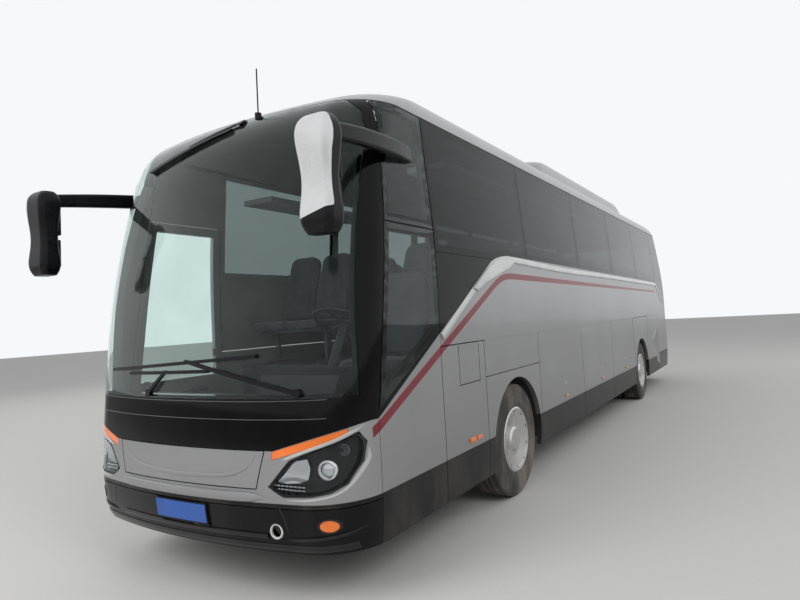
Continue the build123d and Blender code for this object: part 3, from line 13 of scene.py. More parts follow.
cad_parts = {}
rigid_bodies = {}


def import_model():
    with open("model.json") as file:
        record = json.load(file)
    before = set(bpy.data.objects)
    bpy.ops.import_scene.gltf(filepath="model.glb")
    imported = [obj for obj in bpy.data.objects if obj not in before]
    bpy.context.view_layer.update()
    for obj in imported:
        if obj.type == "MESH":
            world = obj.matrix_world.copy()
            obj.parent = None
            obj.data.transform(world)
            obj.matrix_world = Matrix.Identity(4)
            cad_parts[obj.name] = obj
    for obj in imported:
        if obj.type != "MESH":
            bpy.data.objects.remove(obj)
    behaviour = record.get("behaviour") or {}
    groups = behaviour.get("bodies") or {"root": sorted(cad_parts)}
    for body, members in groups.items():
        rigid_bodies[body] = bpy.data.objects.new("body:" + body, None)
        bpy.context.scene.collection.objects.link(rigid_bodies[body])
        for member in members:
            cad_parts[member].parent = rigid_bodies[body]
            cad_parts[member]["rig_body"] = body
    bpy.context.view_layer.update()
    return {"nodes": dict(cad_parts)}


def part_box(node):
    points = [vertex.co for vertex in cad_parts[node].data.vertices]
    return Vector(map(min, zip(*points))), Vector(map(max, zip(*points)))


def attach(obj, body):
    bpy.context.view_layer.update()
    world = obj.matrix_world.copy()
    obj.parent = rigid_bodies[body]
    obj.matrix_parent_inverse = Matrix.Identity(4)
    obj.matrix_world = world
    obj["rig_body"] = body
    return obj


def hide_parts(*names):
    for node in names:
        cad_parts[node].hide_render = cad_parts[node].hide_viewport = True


log = logging.getLogger("coach")

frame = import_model()

Mesh = bmesh.types.BMesh
Socket = bpy.types.NodeSocket
Pair = tuple[float, float]
Triple = tuple[float, float, float]
Placing = Callable[[float, float, float], Vector]

# Stations are metres ahead of the front axle
AXLE_X = (sum(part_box("rim_front_left"), Vector()) / 2).x
CLEAR_FROM_X = AXLE_X + 1.43
HALF_WIDTH = 1.275
SMOOTH_ANGLE = math.radians(32)
OUTER_TYRE, INNER_TYRE = (1.092,), (0.752,)
LEFT, RIGHT = 1, -1
TAGS = {LEFT: "left", RIGHT: "right"}
BODY = "body"


def at(station: float, across: float, height: float) -> Vector:
    """Row position of a station."""
    return Vector((AXLE_X + station, across, height))


class Facing(Enum):
    """Which faces of a node take its second finish."""

    INWARD = "inward"
    DOWN = "down"
    AHEAD = "ahead"


class Graph:
    """Small helper that places and links the nodes of one node tree."""

    def __init__(self, tree: bpy.types.NodeTree) -> None:
        """Keeps the tree.

        Args:
            tree: node tree to fill.
        """
        self.tree = tree
        self.count = 0

    def add(self, kind: str, **settings: object) -> bpy.types.Node:
        """Adds a node and sets its properties.

        Args:
            kind: node type name.
            settings: properties by name.

        Returns:
            The new node.
        """
        node = self.tree.nodes.new(kind)
        node.location = (self.count * 180 % 1800, -(self.count // 10) * 300)
        self.count += 1
        for name, value in settings.items():
            setattr(node, name, value)
        return node

    def feed(self, socket: Socket, value: object) -> None:
        """Links a socket to another or sets its value."""
        if isinstance(value, Socket):
            self.tree.links.new(value, socket)
        else:
            socket.default_value = value

    def math(self, operation: str, *values: object, clamp: bool = False) -> Socket:
        """Adds a Math node.

        Args:
            operation: Blender's name of the operation.
            values: numbers or sockets, in order.
            clamp: whether the result is kept between 0 and 1.

        Returns:
            The result socket.
        """
        node = self.add("ShaderNodeMath", operation=operation, use_clamp=clamp)
        for number, value in enumerate(values):
            self.feed(node.inputs[number], value)
        return node.outputs[0]

    def ramp(self, value: object, low: float, high: float, start: float = 0.0, end: float = 1.0) -> Socket:
        """Adds a smooth Map Range node.

        Args:
            value: socket to map.
            low: value that gives start.
            high: value that gives end.
            start: result at low.
            end: result at high.

        Returns:
            The result socket.
        """
        node = self.add("ShaderNodeMapRange", interpolation_type="SMOOTHSTEP")
        return self.fill(node, Value=value, From_Min=low, From_Max=high, To_Min=start, To_Max=end)["Result"]

    def band(self, value: object, centre: object, half: object, soft: float) -> Socket:
        """Mask of a band around a centre value.

        Args:
            value: socket to test.
            centre: middle of the band.
            half: half its width.
            soft: width of the soft edge.

        Returns:
            Socket that is 1 inside the band.
        """
        gap = self.math("SUBTRACT", half, self.math("ABSOLUTE", self.math("SUBTRACT", value, centre)))
        return self.ramp(gap, -soft, soft)

    def mix(self, factor: object, first: object, second: object) -> Socket:
        """Mixes two colours by a factor and returns the result socket."""
        node = self.add("ShaderNodeMix", data_type="RGBA", clamp_factor=True)
        self.feed(node.inputs[0], factor)
        self.feed(node.inputs[6], first)
        self.feed(node.inputs[7], second)
        return node.outputs[2]

    def place(self) -> tuple[Socket, Socket, Socket, Socket]:
        """Object coordinates as a vector and its three parts."""
        coordinates = self.add("ShaderNodeTexCoord").outputs["Object"]
        parts = self.add("ShaderNodeSeparateXYZ")
        self.feed(parts.inputs[0], coordinates)
        return coordinates, parts.outputs[0], parts.outputs[1], parts.outputs[2]

    def noise(self, vector: object, scale: object, detail: float = 3.0, rough: float = 0.55) -> Socket:
        """Adds a Noise Texture and returns its factor."""
        node = self.add("ShaderNodeTexNoise")
        return self.fill(node, Vector=vector, Scale=scale, Detail=detail, Roughness=rough)[0]

    def fill(self, node: bpy.types.Node, **values: object) -> bpy.types.NodeOutputs:
        """Feeds a node's inputs by name.

        Args:
            node: node to fill.
            values: what each input gets, its name written with _ for a space.

        Returns:
            The node's outputs.
        """
        for name, value in values.items():
            self.feed(node.inputs[name.replace("_", " ")], value)
        return node.outputs

    def group(self, tree: bpy.types.NodeTree, **values: object) -> bpy.types.NodeOutputs:
        """Places a node group, feeds its inputs by name and returns its outputs."""
        return self.fill(self.add("ShaderNodeGroup", node_tree=tree), **values)

    def tinted(self, colour: Triple, value: Socket) -> Socket:
        """A colour whose brightness a socket scales."""
        return self.fill(self.add("ShaderNodeHueSaturation"), Color=rgba(*colour), Value=value)[0]

    def bump(self, height: Socket, strength: float, distance: float = 0.001) -> Socket:
        """Normal of a fine relief."""
        return self.fill(self.add("ShaderNodeBump"), Strength=strength, Distance=distance, Height=height)[0]


def new_group(name: str, inputs: dict[str, tuple[str, object]], outputs: dict[str, str]
              ) -> tuple[Graph, bpy.types.Node, bpy.types.Node]:
    """Starts a shader node group.

    Args:
        name: name of the group.
        inputs: socket name to its kind and default.
        outputs: socket name to its kind.

    Returns:
        The graph, the group's input node and its output node.
    """
    tree = bpy.data.node_groups.new(name, "ShaderNodeTree")
    for label, (kind, value) in inputs.items():
        socket = tree.interface.new_socket(label, in_out="INPUT", socket_type=kind)
        if value is not None:
            socket.default_value = value
    for label, kind in outputs.items():
        tree.interface.new_socket(label, in_out="OUTPUT", socket_type=kind)
    graph = Graph(tree)
    return graph, graph.add("NodeGroupInput"), graph.add("NodeGroupOutput")


def road_film_group() -> bpy.types.NodeTree:
    """Road film: a dusty mask that grows towards the ground, with streaks, and a roughness to go with it."""
    graph, given, out = new_group(
        "road_film",
        {"Amount": ("NodeSocketFloat", 0.5), "Reach": ("NodeSocketFloat", 0.9)},
        {"Mask": "NodeSocketFloat", "Rough": "NodeSocketFloat"},
    )
    vector, _x, _y, height = graph.place()
    streaks = graph.fill(graph.add("ShaderNodeMapping"), Scale=(1.0, 1.0, 0.35), Vector=vector)[0]
    cloud = graph.noise(streaks, 3.0, 6.0, 0.62)
    speck = graph.noise(vector, 38.0, 3.0, 0.6)
    fall = graph.math("SUBTRACT", 1.0, graph.math("DIVIDE", height, given.outputs["Reach"]), clamp=True)
    mask = graph.math("MULTIPLY", graph.ramp(cloud, 0.36, 0.72), graph.math("ADD", 0.12, fall))
    mask = graph.math("MULTIPLY", mask, graph.ramp(speck, 0.25, 0.75, 0.65, 1.0))
    mask = graph.math("MULTIPLY", mask, given.outputs["Amount"], clamp=True)
    graph.fill(out, Mask=mask, Rough=graph.math("MULTIPLY", mask, 0.45))
    return graph.tree


def fine_grain_group() -> bpy.types.NodeTree:
    """Fine moulded grain: a height and a tone that both vary over the surface."""
    graph, given, out = new_group(
        "fine_grain",
        {"Scale": ("NodeSocketFloat", 300.0)},
        {"Height": "NodeSocketFloat", "Tone": "NodeSocketFloat"},
    )
    vector = graph.place()[0]
    fine = graph.noise(vector, given.outputs["Scale"], 2.0, 0.5)
    graph.fill(out, Height=fine, Tone=graph.ramp(graph.noise(vector, 2.3, 4.0), 0.3, 0.7, 0.88, 1.1))
    return graph.tree


FILM = road_film_group()
GRAIN = fine_grain_group()
DUST = (0.33, 0.3, 0.26, 1.0)


def shaded(name: str) -> tuple[Graph, bpy.types.Node]:
    """Starts a material with a Principled shader.

    Args:
        name: name of the material.

    Returns:
        Its graph and its Principled node.
    """
    material = bpy.data.materials.new(name)
    material.use_nodes = True
    material.node_tree.nodes.clear()
    graph = Graph(material.node_tree)
    shader = graph.add("ShaderNodeBsdfPrincipled")
    graph.fill(graph.add("ShaderNodeOutputMaterial"), Surface=shader.outputs[0])
    return graph, shader


def rgba(red: float, green: float, blue: float) -> tuple[float, float, float, float]:
    """Colour with full alpha."""
    return (red, green, blue, 1.0)


@dataclass(frozen=True)
class Surface:
    """What all finishes share: one material, built when it is first asked for."""

    name: str

    def material(self) -> bpy.types.Material:
        """Builds the material, or gives the one already built."""
        label = f"finish_{self.name}"
        if label not in bpy.data.materials:
            self.dress(*shaded(label))
        return bpy.data.materials[label]

    def dress(self, graph: Graph, shader: bpy.types.Node) -> None:
        """Fills the Principled shader, in each finish's own way."""
        raise NotImplementedError


@dataclass(frozen=True)
class Finish(Surface):
    """A finish of one colour that still varies: tone, film near the ground and grain."""

    colour: Triple
    rough: float = 0.4
    metallic: float = 0.0
    coat: float = 0.0
    film: float = 0.4
    reach: float = 1.2
    grain: float = 300.0
    bump: float = 0.0
    gloss: float = 0.5
    coat_rough: float = 0.04

    def dress(self, graph: Graph, shader: bpy.types.Node) -> None:
        """Fills the Principled shader."""
        grain = graph.group(GRAIN, Scale=self.grain)
        film = graph.group(FILM, Amount=self.film, Reach=self.reach)
        colour = graph.mix(film["Mask"], graph.tinted(self.colour, grain["Tone"]), DUST)
        rough = graph.math("ADD", self.rough, film["Rough"], clamp=True)
        graph.fill(shader, Base_Color=colour, Roughness=rough, Metallic=self.metallic, Coat_Weight=self.coat,
                   Coat_Roughness=self.coat_rough, Specular_IOR_Level=self.gloss)
        if self.bump:
            graph.fill(shader, Normal=graph.bump(grain["Height"], self.bump))


@dataclass(frozen=True)
class BodyPaint(Surface):
    """Silver metallic body paint with the dark skirt and the crimson stripe of the long sides."""

    name: str = "body_paint"
    silver: Triple = (0.34, 0.34, 0.345)
    skirt: Triple = (0.006, 0.006, 0.007)
    crimson: Triple = (0.17, 0.003, 0.012)
    border: Triple = (0.42, 0.34, 0.345)
    skirt_top: float = 0.655
    # The stripe climbs from its start and levels out: station and height on each line, and its slope
    climb_start: Pair = (2.309, 1.033)
    climb_slope: float = -0.4876
    level_start: Pair = (-0.1, 2.05)
    level_slope: float = 0.0102
    bend: float = 0.16
    stripe_half: float = 0.03
    stripe_rear: float = -7.8
    side_from: float = 1.19

    def line(self, graph: Graph, station: Socket, start: Pair, slope: float) -> Socket:
        """Height of a sloping line at each station."""
        return graph.math("MULTIPLY_ADD", station, slope, start[1] - slope * start[0])

    def stripe(self, graph: Graph, station: Socket, across: Socket, height: Socket) -> tuple[Socket, Socket]:
        """Masks of the stripe and of the pale border around it.

        Args:
            graph: graph of the material.
            station: distance ahead of the front axle.
            across: distance from the centre.
            height: height.

        Returns:
            The stripe's mask and the border's.
        """
        climb = self.line(graph, station, self.climb_start, self.climb_slope)
        level = self.line(graph, station, self.level_start, self.level_slope)
        slant = graph.ramp(station, -0.1, 0.9, 1.0, math.cos(math.atan(self.climb_slope)))
        middle = graph.math("SMOOTH_MIN", climb, level, self.bend)
        offset = graph.math("MULTIPLY", graph.math("SUBTRACT", height, middle), slant)
        half = graph.math("MULTIPLY", graph.ramp(station, -6.5, 1.5, 0.6, 1.0), self.stripe_half)
        front = self.climb_start[0] + 0.006
        side = graph.ramp(graph.math("ABSOLUTE", across), self.side_from - 0.01, self.side_from + 0.01)
        reach = graph.math("MULTIPLY", side, graph.ramp(station, front - 0.003, front + 0.003, 1.0, 0.0))
        reach = graph.math("MULTIPLY", reach, graph.ramp(station, self.stripe_rear - 0.02, self.stripe_rear))
        wider = graph.math("ADD", half, 0.009)
        return (graph.math("MULTIPLY", graph.band(offset, 0.0, half, 0.0015), reach),
                graph.math("MULTIPLY", graph.band(offset, 0.0, wider, 0.002), reach))

    def dress(self, graph: Graph, shader: bpy.types.Node) -> None:
        """Fills the Principled shader."""
        vector, along, across, height = graph.place()
        stripe, border = self.stripe(graph, graph.math("SUBTRACT", along, AXLE_X), across, height)
        flake = graph.noise(vector, 900.0, 1.0)
        tone = graph.math("MULTIPLY", graph.ramp(graph.noise(vector, 1.1, 3.0), 0.3, 0.7, 0.95, 1.04),
                          graph.ramp(flake, 0.3, 0.7, 0.96, 1.05))
        dark = graph.ramp(height, self.skirt_top - 0.002, self.skirt_top + 0.002, 1.0, 0.0)
        pale = graph.math("MULTIPLY", border, 0.55)
        colour = graph.mix(pale, graph.tinted(self.silver, tone), rgba(*self.border))
        colour = graph.mix(dark, graph.mix(stripe, colour, rgba(*self.crimson)), rgba(*self.skirt))
        film = graph.group(FILM, Amount=0.16, Reach=1.1)
        rough = graph.math("ADD", graph.ramp(flake, 0.3, 0.7, 0.3, 0.36), film["Rough"], clamp=True)
        graph.fill(shader, Base_Color=graph.mix(film["Mask"], colour, DUST), Roughness=rough,
                   Metallic=graph.ramp(graph.math("MAXIMUM", dark, stripe), 0.0, 1.0, 0.8, 0.0),
                   Coat_Weight=graph.ramp(dark, 0.0, 1.0, 0.2, 0.04), Coat_Roughness=0.05,
                   Specular_IOR_Level=graph.ramp(dark, 0.0, 1.0, 0.5, 0.2))


@dataclass(frozen=True)
class Glazing(Surface):
    """Clear or tinted glass that lets light through, darker with more tint."""

    colour: Triple
    bend: float = 1.3

    def dress(self, graph: Graph, shader: bpy.types.Node) -> None:
        """Fills the Principled shader."""
        tone = graph.ramp(graph.group(GRAIN, Scale=40.0)["Tone"], 0.88, 1.1, 0.97, 1.01)
        graph.fill(shader, Base_Color=graph.tinted(self.colour, tone), Roughness=0.0, Transmission_Weight=1.0,
                   IOR=self.bend)


@dataclass(frozen=True)
class MirrorPaint(Surface):
    """Mirror housings: a silver cap on a black housing, wide on the driver's side and narrow on the other."""

    name: str = "mirror_paint"
    silver: Triple = (0.62, 0.62, 0.62)
    black: Triple = (0.004, 0.004, 0.005)
    # Middle of a housing and half its size
    station: float = 2.818
    across: float = 1.368
    half_deep: float = 0.082
    half_wide: float = 0.116
    # Lower end of the cap, and where its rear edge lies on the driver's and the other side, in half sizes
    chin: float = 2.29
    near_edge: float = 0.3
    far_edge: float = 1.1

    def cap(self, graph: Graph, along: Socket, across: Socket, height: Socket) -> Socket:
        """Mask of the silver cap."""
        forward = graph.math("DIVIDE", graph.math("SUBTRACT", along, AXLE_X + self.station), self.half_deep)
        away = graph.math("SUBTRACT", graph.math("ABSOLUTE", across), self.across)
        outward = graph.math("DIVIDE", away, self.half_wide)
        near = graph.math("SUBTRACT", forward, self.near_edge)
        far = graph.math("SUBTRACT", graph.math("MULTIPLY_ADD", forward, 0.5, outward), self.far_edge)
        driver_side = graph.ramp(across, -0.1, 0.1, -9.0, 9.0)
        edge = graph.math("MAXIMUM", graph.math("MINIMUM", near, driver_side), far)
        low = graph.math("MULTIPLY_ADD", outward, 0.03, self.chin)
        foot = graph.math("DIVIDE", graph.math("SUBTRACT", height, low), self.half_deep)
        return graph.ramp(graph.math("SMOOTH_MIN", edge, foot, 0.45), -0.015, 0.015)

    def dress(self, graph: Graph, shader: bpy.types.Node) -> None:
        """Fills the Principled shader."""
        vector, *spot = graph.place()
        mask = self.cap(graph, *spot)
        tone = graph.ramp(graph.noise(vector, 5.0, 3.0), 0.3, 0.7, 0.94, 1.05)
        film = graph.group(FILM, Amount=0.04, Reach=1.2)
        colour = graph.mix(mask, rgba(*self.black), graph.tinted(self.silver, tone))
        graph.fill(shader, Base_Color=graph.mix(film["Mask"], colour, DUST),
                   Metallic=graph.math("MULTIPLY", mask, 0.7), Roughness=graph.math("MULTIPLY", tone, 0.28),
                   Coat_Weight=graph.math("MULTIPLY", mask, 0.6), Coat_Roughness=0.04, Specular_IOR_Level=0.2)


@dataclass(frozen=True)
class Cloth(Surface):
    """Woven seat cloth: crossed threads, a small lighter fleck and a worn tone."""

    name: str = "seat_cloth"
    ground: Triple = (0.1, 0.1, 0.12)
    fleck: Triple = (0.3, 0.28, 0.26)
    threads: float = 70.0
    flecks: float = 42.0

    def dress(self, graph: Graph, shader: bpy.types.Node) -> None:
        """Fills the Principled shader."""
        vector = graph.place()[0]
        crossed = [graph.fill(graph.add("ShaderNodeTexWave", wave_type="BANDS", bands_direction=direction),
                              Vector=vector, Scale=self.threads)[1] for direction in ("Y", "Z")]
        weave = graph.math("MULTIPLY", *crossed)
        cells = graph.fill(graph.add("ShaderNodeTexVoronoi", feature="F1"), Vector=vector, Scale=self.flecks)
        dots = graph.math("MULTIPLY", graph.ramp(cells["Distance"], 0.16, 0.2, 1.0, 0.0), 0.6)
        worn = graph.ramp(graph.noise(vector, 6.0, 4.0), 0.3, 0.7, 0.86, 1.12)
        tone = graph.math("MULTIPLY", worn, graph.ramp(weave, 0.0, 1.0, 0.85, 1.15))
        graph.fill(shader, Base_Color=graph.mix(dots, graph.tinted(self.ground, tone), rgba(*self.fleck)),
                   Roughness=graph.ramp(weave, 0.0, 1.0, 0.95, 0.82), Sheen_Weight=0.25,
                   Specular_IOR_Level=0.2, Normal=graph.bump(weave, 0.5, 0.0008))


SILVER = BodyPaint()
BLACK_GLOSS = Finish("black_gloss", (0.0025, 0.0025, 0.003), 0.06, film=0.015, reach=2.5, gloss=0.15)
BUMPER_BLACK = Finish("bumper_black", (0.003, 0.003, 0.004), 0.24, film=0.035, grain=900.0, bump=0.1,
                      gloss=0.2)
MIRROR_BLACK = Finish("mirror_black", (0.005, 0.005, 0.006), 0.35, film=0.02, gloss=0.2)
RUBBER = Finish("rubber_seal", (0.012, 0.012, 0.013), 0.6, film=0.15)
TYRE_RUBBER = Finish("tyre_rubber", (0.022, 0.022, 0.023), 0.72, film=0.7, reach=1.6, grain=500.0, bump=0.3)
COVER_STEEL = Finish("cover_steel", (0.62, 0.62, 0.61), 0.24, 1.0, film=0.3, grain=700.0, bump=0.05)
FRAME_BLACK = Finish("frame_black", (0.03, 0.03, 0.032), 0.6, film=0.8, reach=2.0)
CASTING = Finish("casting", (0.08, 0.078, 0.075), 0.65, 0.3, film=0.8, grain=400.0, bump=0.4)
ENGINE = Finish("engine_casting", (0.13, 0.13, 0.13), 0.6, 0.3, film=0.6, grain=400.0, bump=0.4)
FLOOR_SHEET = Finish("floor_sheet", (0.09, 0.09, 0.1), 0.6, film=0.1, grain=800.0, bump=0.2)
HOLD_SHEET = Finish("hold_sheet", (0.06, 0.06, 0.065), 0.6, film=0.5, grain=500.0, bump=0.2)
DASH_PLASTIC = Finish("dash_plastic", (0.03, 0.03, 0.033), 0.5, film=0.05, grain=900.0, bump=0.3)
RACK_PLASTIC = Finish("rack_plastic", (0.42, 0.42, 0.43), 0.5, film=0.02)
HATCH_PLASTIC = Finish("hatch_plastic", (0.55, 0.55, 0.56), 0.45, film=0.2, reach=6.0)
POST_PAINT = Finish("post_paint", (0.1, 0.1, 0.11), 0.4, film=0.2)
SEAT_CLOTH = Cloth()
SCREEN_GLASS = Glazing("screen_glass", (0.8, 0.9, 0.87), 1.25)
TINTED_GLASS = Glazing("tinted_glass", (0.16, 0.19, 0.19), 1.24)
LAMP_GLASS = Glazing("lamp_glass", (0.85, 0.87, 0.88), 1.2)
LINING = Finish("cabin_lining", (0.26, 0.26, 0.25), 0.75, film=0.02, grain=900.0, bump=0.3)
BELT_SILVER = Finish("belt_silver", (0.56, 0.57, 0.56), 0.3, 0.55, coat=0.5, film=0.12)
TRIM_BLACK = Finish("trim_black", (0.006, 0.006, 0.007), 0.14, film=0.05, gloss=0.4)
SEAM_GREY = Finish("seam_grey", (0.09, 0.09, 0.095), 0.4, film=0.1)
CHROME = Finish("chrome", (0.72, 0.73, 0.74), 0.07, 1.0, film=0.03)
MIRROR_GLASS = Finish("mirror_glass", (0.75, 0.77, 0.78), 0.03, 1.0, film=0.0)
MIRROR_SHELL = MirrorPaint()
PLATE_BLUE = Finish("plate_blue", (0.01, 0.085, 0.38), 0.35, film=0.12, grain=200.0)
CORNER_GREY = Finish("corner_grey", (0.16, 0.16, 0.165), 0.3, 0.4, coat=0.5, film=0.3)
CAP_PALE = Finish("cap_pale", (0.55, 0.55, 0.54), 0.5, film=0.3)
AMBER = Finish("amber_lens", (0.85, 0.17, 0.008), 0.18, film=0.1, coat=0.8, grain=160.0, bump=0.25)
RED_LENS = Finish("red_lens", (0.3, 0.006, 0.008), 0.12, film=0.15, coat=1.0, grain=160.0, bump=0.25)
WHITE_LENS = Finish("white_lens", (0.6, 0.6, 0.6), 0.14, film=0.15, coat=1.0, grain=160.0, bump=0.25)

# Which finish each node takes
NODE_FINISH = {
    SILVER: (
        "lower_walls", "upper_walls", "front_panel", "front_lid", "tail_panel", "engine_lid", "roof",
        "filler_flap", "wheel_flap", "engine_flap", "hold_flap_left_1", "hold_flap_left_2",
        "hold_flap_left_3", "hold_flap_right_1", "hold_flap_right_2", "front_door", "mid_door",
        "cooling_unit",
    ),
    BLACK_GLOSS: ("front_mask", "window_frames"),
    MIRROR_SHELL: ("mirrors",),
    MIRROR_BLACK: ("wipers", "antenna"),
    BUMPER_BLACK: ("bumper", "tail_bumper"),
    SCREEN_GLASS: ("windscreen", "front_door_glass"),
    TINTED_GLASS: ("side_windows", "tail_window", "mid_door_glass"),
    AMBER: ("amber_lamps",),
    RED_LENS: ("tail_lamps",),
    HATCH_PLASTIC: ("hatch_front", "hatch_rear"),
    FLOOR_SHEET: ("cabin_floor", "stairs"),
    HOLD_SHEET: ("hold_floor", "wheel_housings"),
    FRAME_BLACK: ("chassis_frame",),
    CASTING: ("front_axle", "rear_axle", "knuckle_left", "knuckle_right"),
    ENGINE: ("engine_block",),
    COVER_STEEL: ("rim_front_left", "rim_front_right", "rim_rear_left", "rim_rear_right"),
    DASH_PLASTIC: ("dashboard", "steering_wheel"),
    POST_PAINT: ("front_door_arm", "mid_door_arm"),
    RACK_PLASTIC: ("luggage_racks",),
}
LINED = ("lower_walls", "upper_walls", "front_panel", "front_mask", "window_frames", "tail_panel",
         "front_door", "mid_door")
# Second finish of a node and the faces that take it
SECOND_FINISH = {
    **{node: (LINING, Facing.INWARD) for node in LINED},
    "roof": (LINING, Facing.DOWN),
    "side_windows": (SCREEN_GLASS, Facing.AHEAD),
}


def faces_that_way(centre: Vector, normal: Vector, facing: Facing) -> bool:
    """Tells whether a face takes the second finish.

    Args:
        centre: middle of the face.
        normal: way that it looks.
        facing: rule for its node.

    Returns:
        True where the face follows the rule.
    """
    if facing is Facing.DOWN:
        return normal.z < -0.3
    if facing is Facing.AHEAD:
        return centre.x > CLEAR_FROM_X
    middle = Vector((0.0, 0.0, centre.z))
    outward = Vector((0.0, centre.y, 0.0)) if abs(centre.y) > 1.15 else centre - middle
    return normal.dot(outward.normalized()) < -0.3


def smooth_copy(node: str, material: bpy.types.Material) -> bpy.types.Object:
    """A merged, smooth shaded copy of a node that stands for it.

    Args:
        node: name of the node.
        material: finish of the copy.

    Returns:
        The new piece.
    """
    source = frame["nodes"][node]
    mesh = source.data.copy()
    piece = bpy.data.objects.new(f"{node}_skin", mesh)
    bpy.context.scene.collection.objects.link(piece)
    facing = [corner.vector.copy() for corner in mesh.corner_normals]
    work = bmesh.new()
    work.from_mesh(mesh)
    layer = work.loops.layers.float_vector.new("facing")
    corners = (corner for face in work.faces for corner in face.loops)
    for corner, normal in zip(corners, facing):
        corner[layer] = normal
    bmesh.ops.remove_doubles(work, verts=work.verts, dist=0.00005)
    work.to_mesh(mesh)
    work.free()
    mesh.shade_smooth()
    mesh.normals_split_custom_set([item.vector for item in mesh.attributes["facing"].data])
    mesh.attributes.remove(mesh.attributes["facing"])
    mesh.materials.clear()
    mesh.materials.append(material)
    if node in SECOND_FINISH:
        second, facing = SECOND_FINISH[node]
        mesh.materials.append(second.material())
        for face in mesh.polygons:
            face.material_index = int(faces_that_way(face.center, face.normal, facing))
    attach(piece, source["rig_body"])
    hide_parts(node)
    return piece


def settle(work: Mesh, name: str, finish: Surface, slot: str, body: str = BODY, node: str = ""
           ) -> bpy.types.Object:
    """Merges doubles, turns the faces outwards and links the result as a smooth shaded piece.

    Args:
        work: shape, already in place.
        name: name of the piece.
        finish: its finish.
        slot: record's material slot; not used.
        body: body that it rides on.
        node: node that it stands for, if any.

    Returns:
        The new piece.
    """
    bmesh.ops.remove_doubles(work, verts=work.verts, dist=0.00002)
    bmesh.ops.recalc_face_normals(work, faces=work.faces)
    mesh = bpy.data.meshes.new(name)
    work.to_mesh(mesh)
    work.free()
    mesh.shade_smooth()
    mesh.set_sharp_from_angle(angle=SMOOTH_ANGLE)
    mesh.materials.append(finish.material())
    piece = bpy.data.objects.new(name, mesh)
    bpy.context.scene.collection.objects.link(piece)
    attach(piece, body)
    if node:
        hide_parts(node)
    return piece


class Hull:
    """Outer surface of the coach, tight around its wall panels, for seating what lies on it."""

    def __init__(self, *nodes: str) -> None:
        """Gathers the surface, which bulges outwards everywhere.

        Args:
            nodes: nodes that form it.
        """
        work = bmesh.new()
        for node in nodes:
            for vertex in frame["nodes"][node].data.vertices:
                if abs(vertex.co.y) < HALF_WIDTH + 0.002:
                    work.verts.new(vertex.co)
        bmesh.ops.convex_hull(work, input=work.verts)
        self.tree = BVHTree.FromBMesh(work)
        work.free()

    def hit(self, origin: Vector, direction: Vector, proud: float) -> Vector:
        """Point where a ray meets the surface, moved out along its own line.

        Args:
            origin: start of the ray, outside the coach.
            direction: way it runs.
            proud: distance kept from the surface.

        Returns:
            The point, or the origin where nothing is met.
        """
        place = self.tree.ray_cast(origin, direction)[0]
        return origin.copy() if place is None else place - direction * proud

    def side(self, station: float, height: float, side: int, proud: float = 0.0) -> Vector:
        """Point on a long side."""
        return self.hit(at(station, side * 2.0, height), Vector((0, -side, 0)), proud)

    def nose(self, across: float, height: float, proud: float = 0.0) -> Vector:
        """Point on the front."""
        return self.hit(at(3.6, across, height), Vector((-1, 0, 0)), proud)

    def tail(self, across: float, height: float, proud: float = 0.0) -> Vector:
        """Point on the rear."""
        return self.hit(at(-10.5, across, height), Vector((1, 0, 0)), proud)


def sheet(outline: tuple, step: float, place: Placing, proud: float, outward: Vector, depth: float) -> Mesh:
    """A flat outline cut into a grid, put in place by a function and given thickness.

    Args:
        outline: points in two flat coordinates.
        step: size of the grid.
        place: gives the point for two flat coordinates and a distance proud.
        proud: how far the face stands out.
        outward: way that the face looks; the thickness goes against it.
        depth: thickness.

    Returns:
        The closed sheet.
    """
    work = bmesh.new()
    bmesh.ops.contextual_create(work, geom=[work.verts.new((*point, 0)) for point in outline])
    for axis, normal in enumerate((Vector((1, 0, 0)), Vector((0, 1, 0)))):
        low, high = min(point[axis] for point in outline), max(point[axis] for point in outline)
        for number in range(1, math.ceil((high - low) / step)):
            everything = work.verts[:] + work.edges[:] + work.faces[:]
            place_of_cut = normal * (low + number * step)
            bmesh.ops.bisect_plane(work, geom=everything, plane_co=place_of_cut, plane_no=normal)
    for vertex in work.verts:
        vertex.co = place(vertex.co.x, vertex.co.y, proud)
    grown = bmesh.ops.extrude_face_region(work, geom=work.faces[:])
    moved = [item for item in grown["geom"] if isinstance(item, bmesh.types.BMVert)]
    bmesh.ops.translate(work, verts=moved, vec=-outward * depth)
    return work


def ribbon(path: list[Pair], section: list[Pair], place: Placing, closed: bool = False, fade: float = 0.0
           ) -> Mesh:
    """A strip of one section that follows a flat path over a surface.

    Args:
        path: points in two flat coordinates.
        section: offset to the left of the path and distance proud, in order around the section.
        place: gives the point for two flat coordinates and a distance proud.
        closed: whether the path runs round.
        fade: length at each end over which the strip thins out.

    Returns:
        The strip.
    """
    count = len(path)
    rings = []
    total = sum((Vector(one) - Vector(two)).length for one, two in zip(path, path[1:]))
    run = 0.0
    for number, (one, two) in enumerate(path):
        run += (Vector(path[number]) - Vector(path[number - 1])).length if number else 0.0
        share = min(1.0, 0.12 + min(run, total - run) / fade) if fade else 1.0
        before = path[(number - 1) % count if closed else max(number - 1, 0)]
        after = path[(number + 1) % count if closed else min(number + 1, count - 1)]
        along = (Vector(after) - Vector(before)).normalized()
        rings.append([place(one - along.y * offset * share, two + along.x * offset * share, proud * share)
                      for offset, proud in section])
    if closed:
        rings.append(list(rings[0]))
    return lofted(rings, closed=not closed)


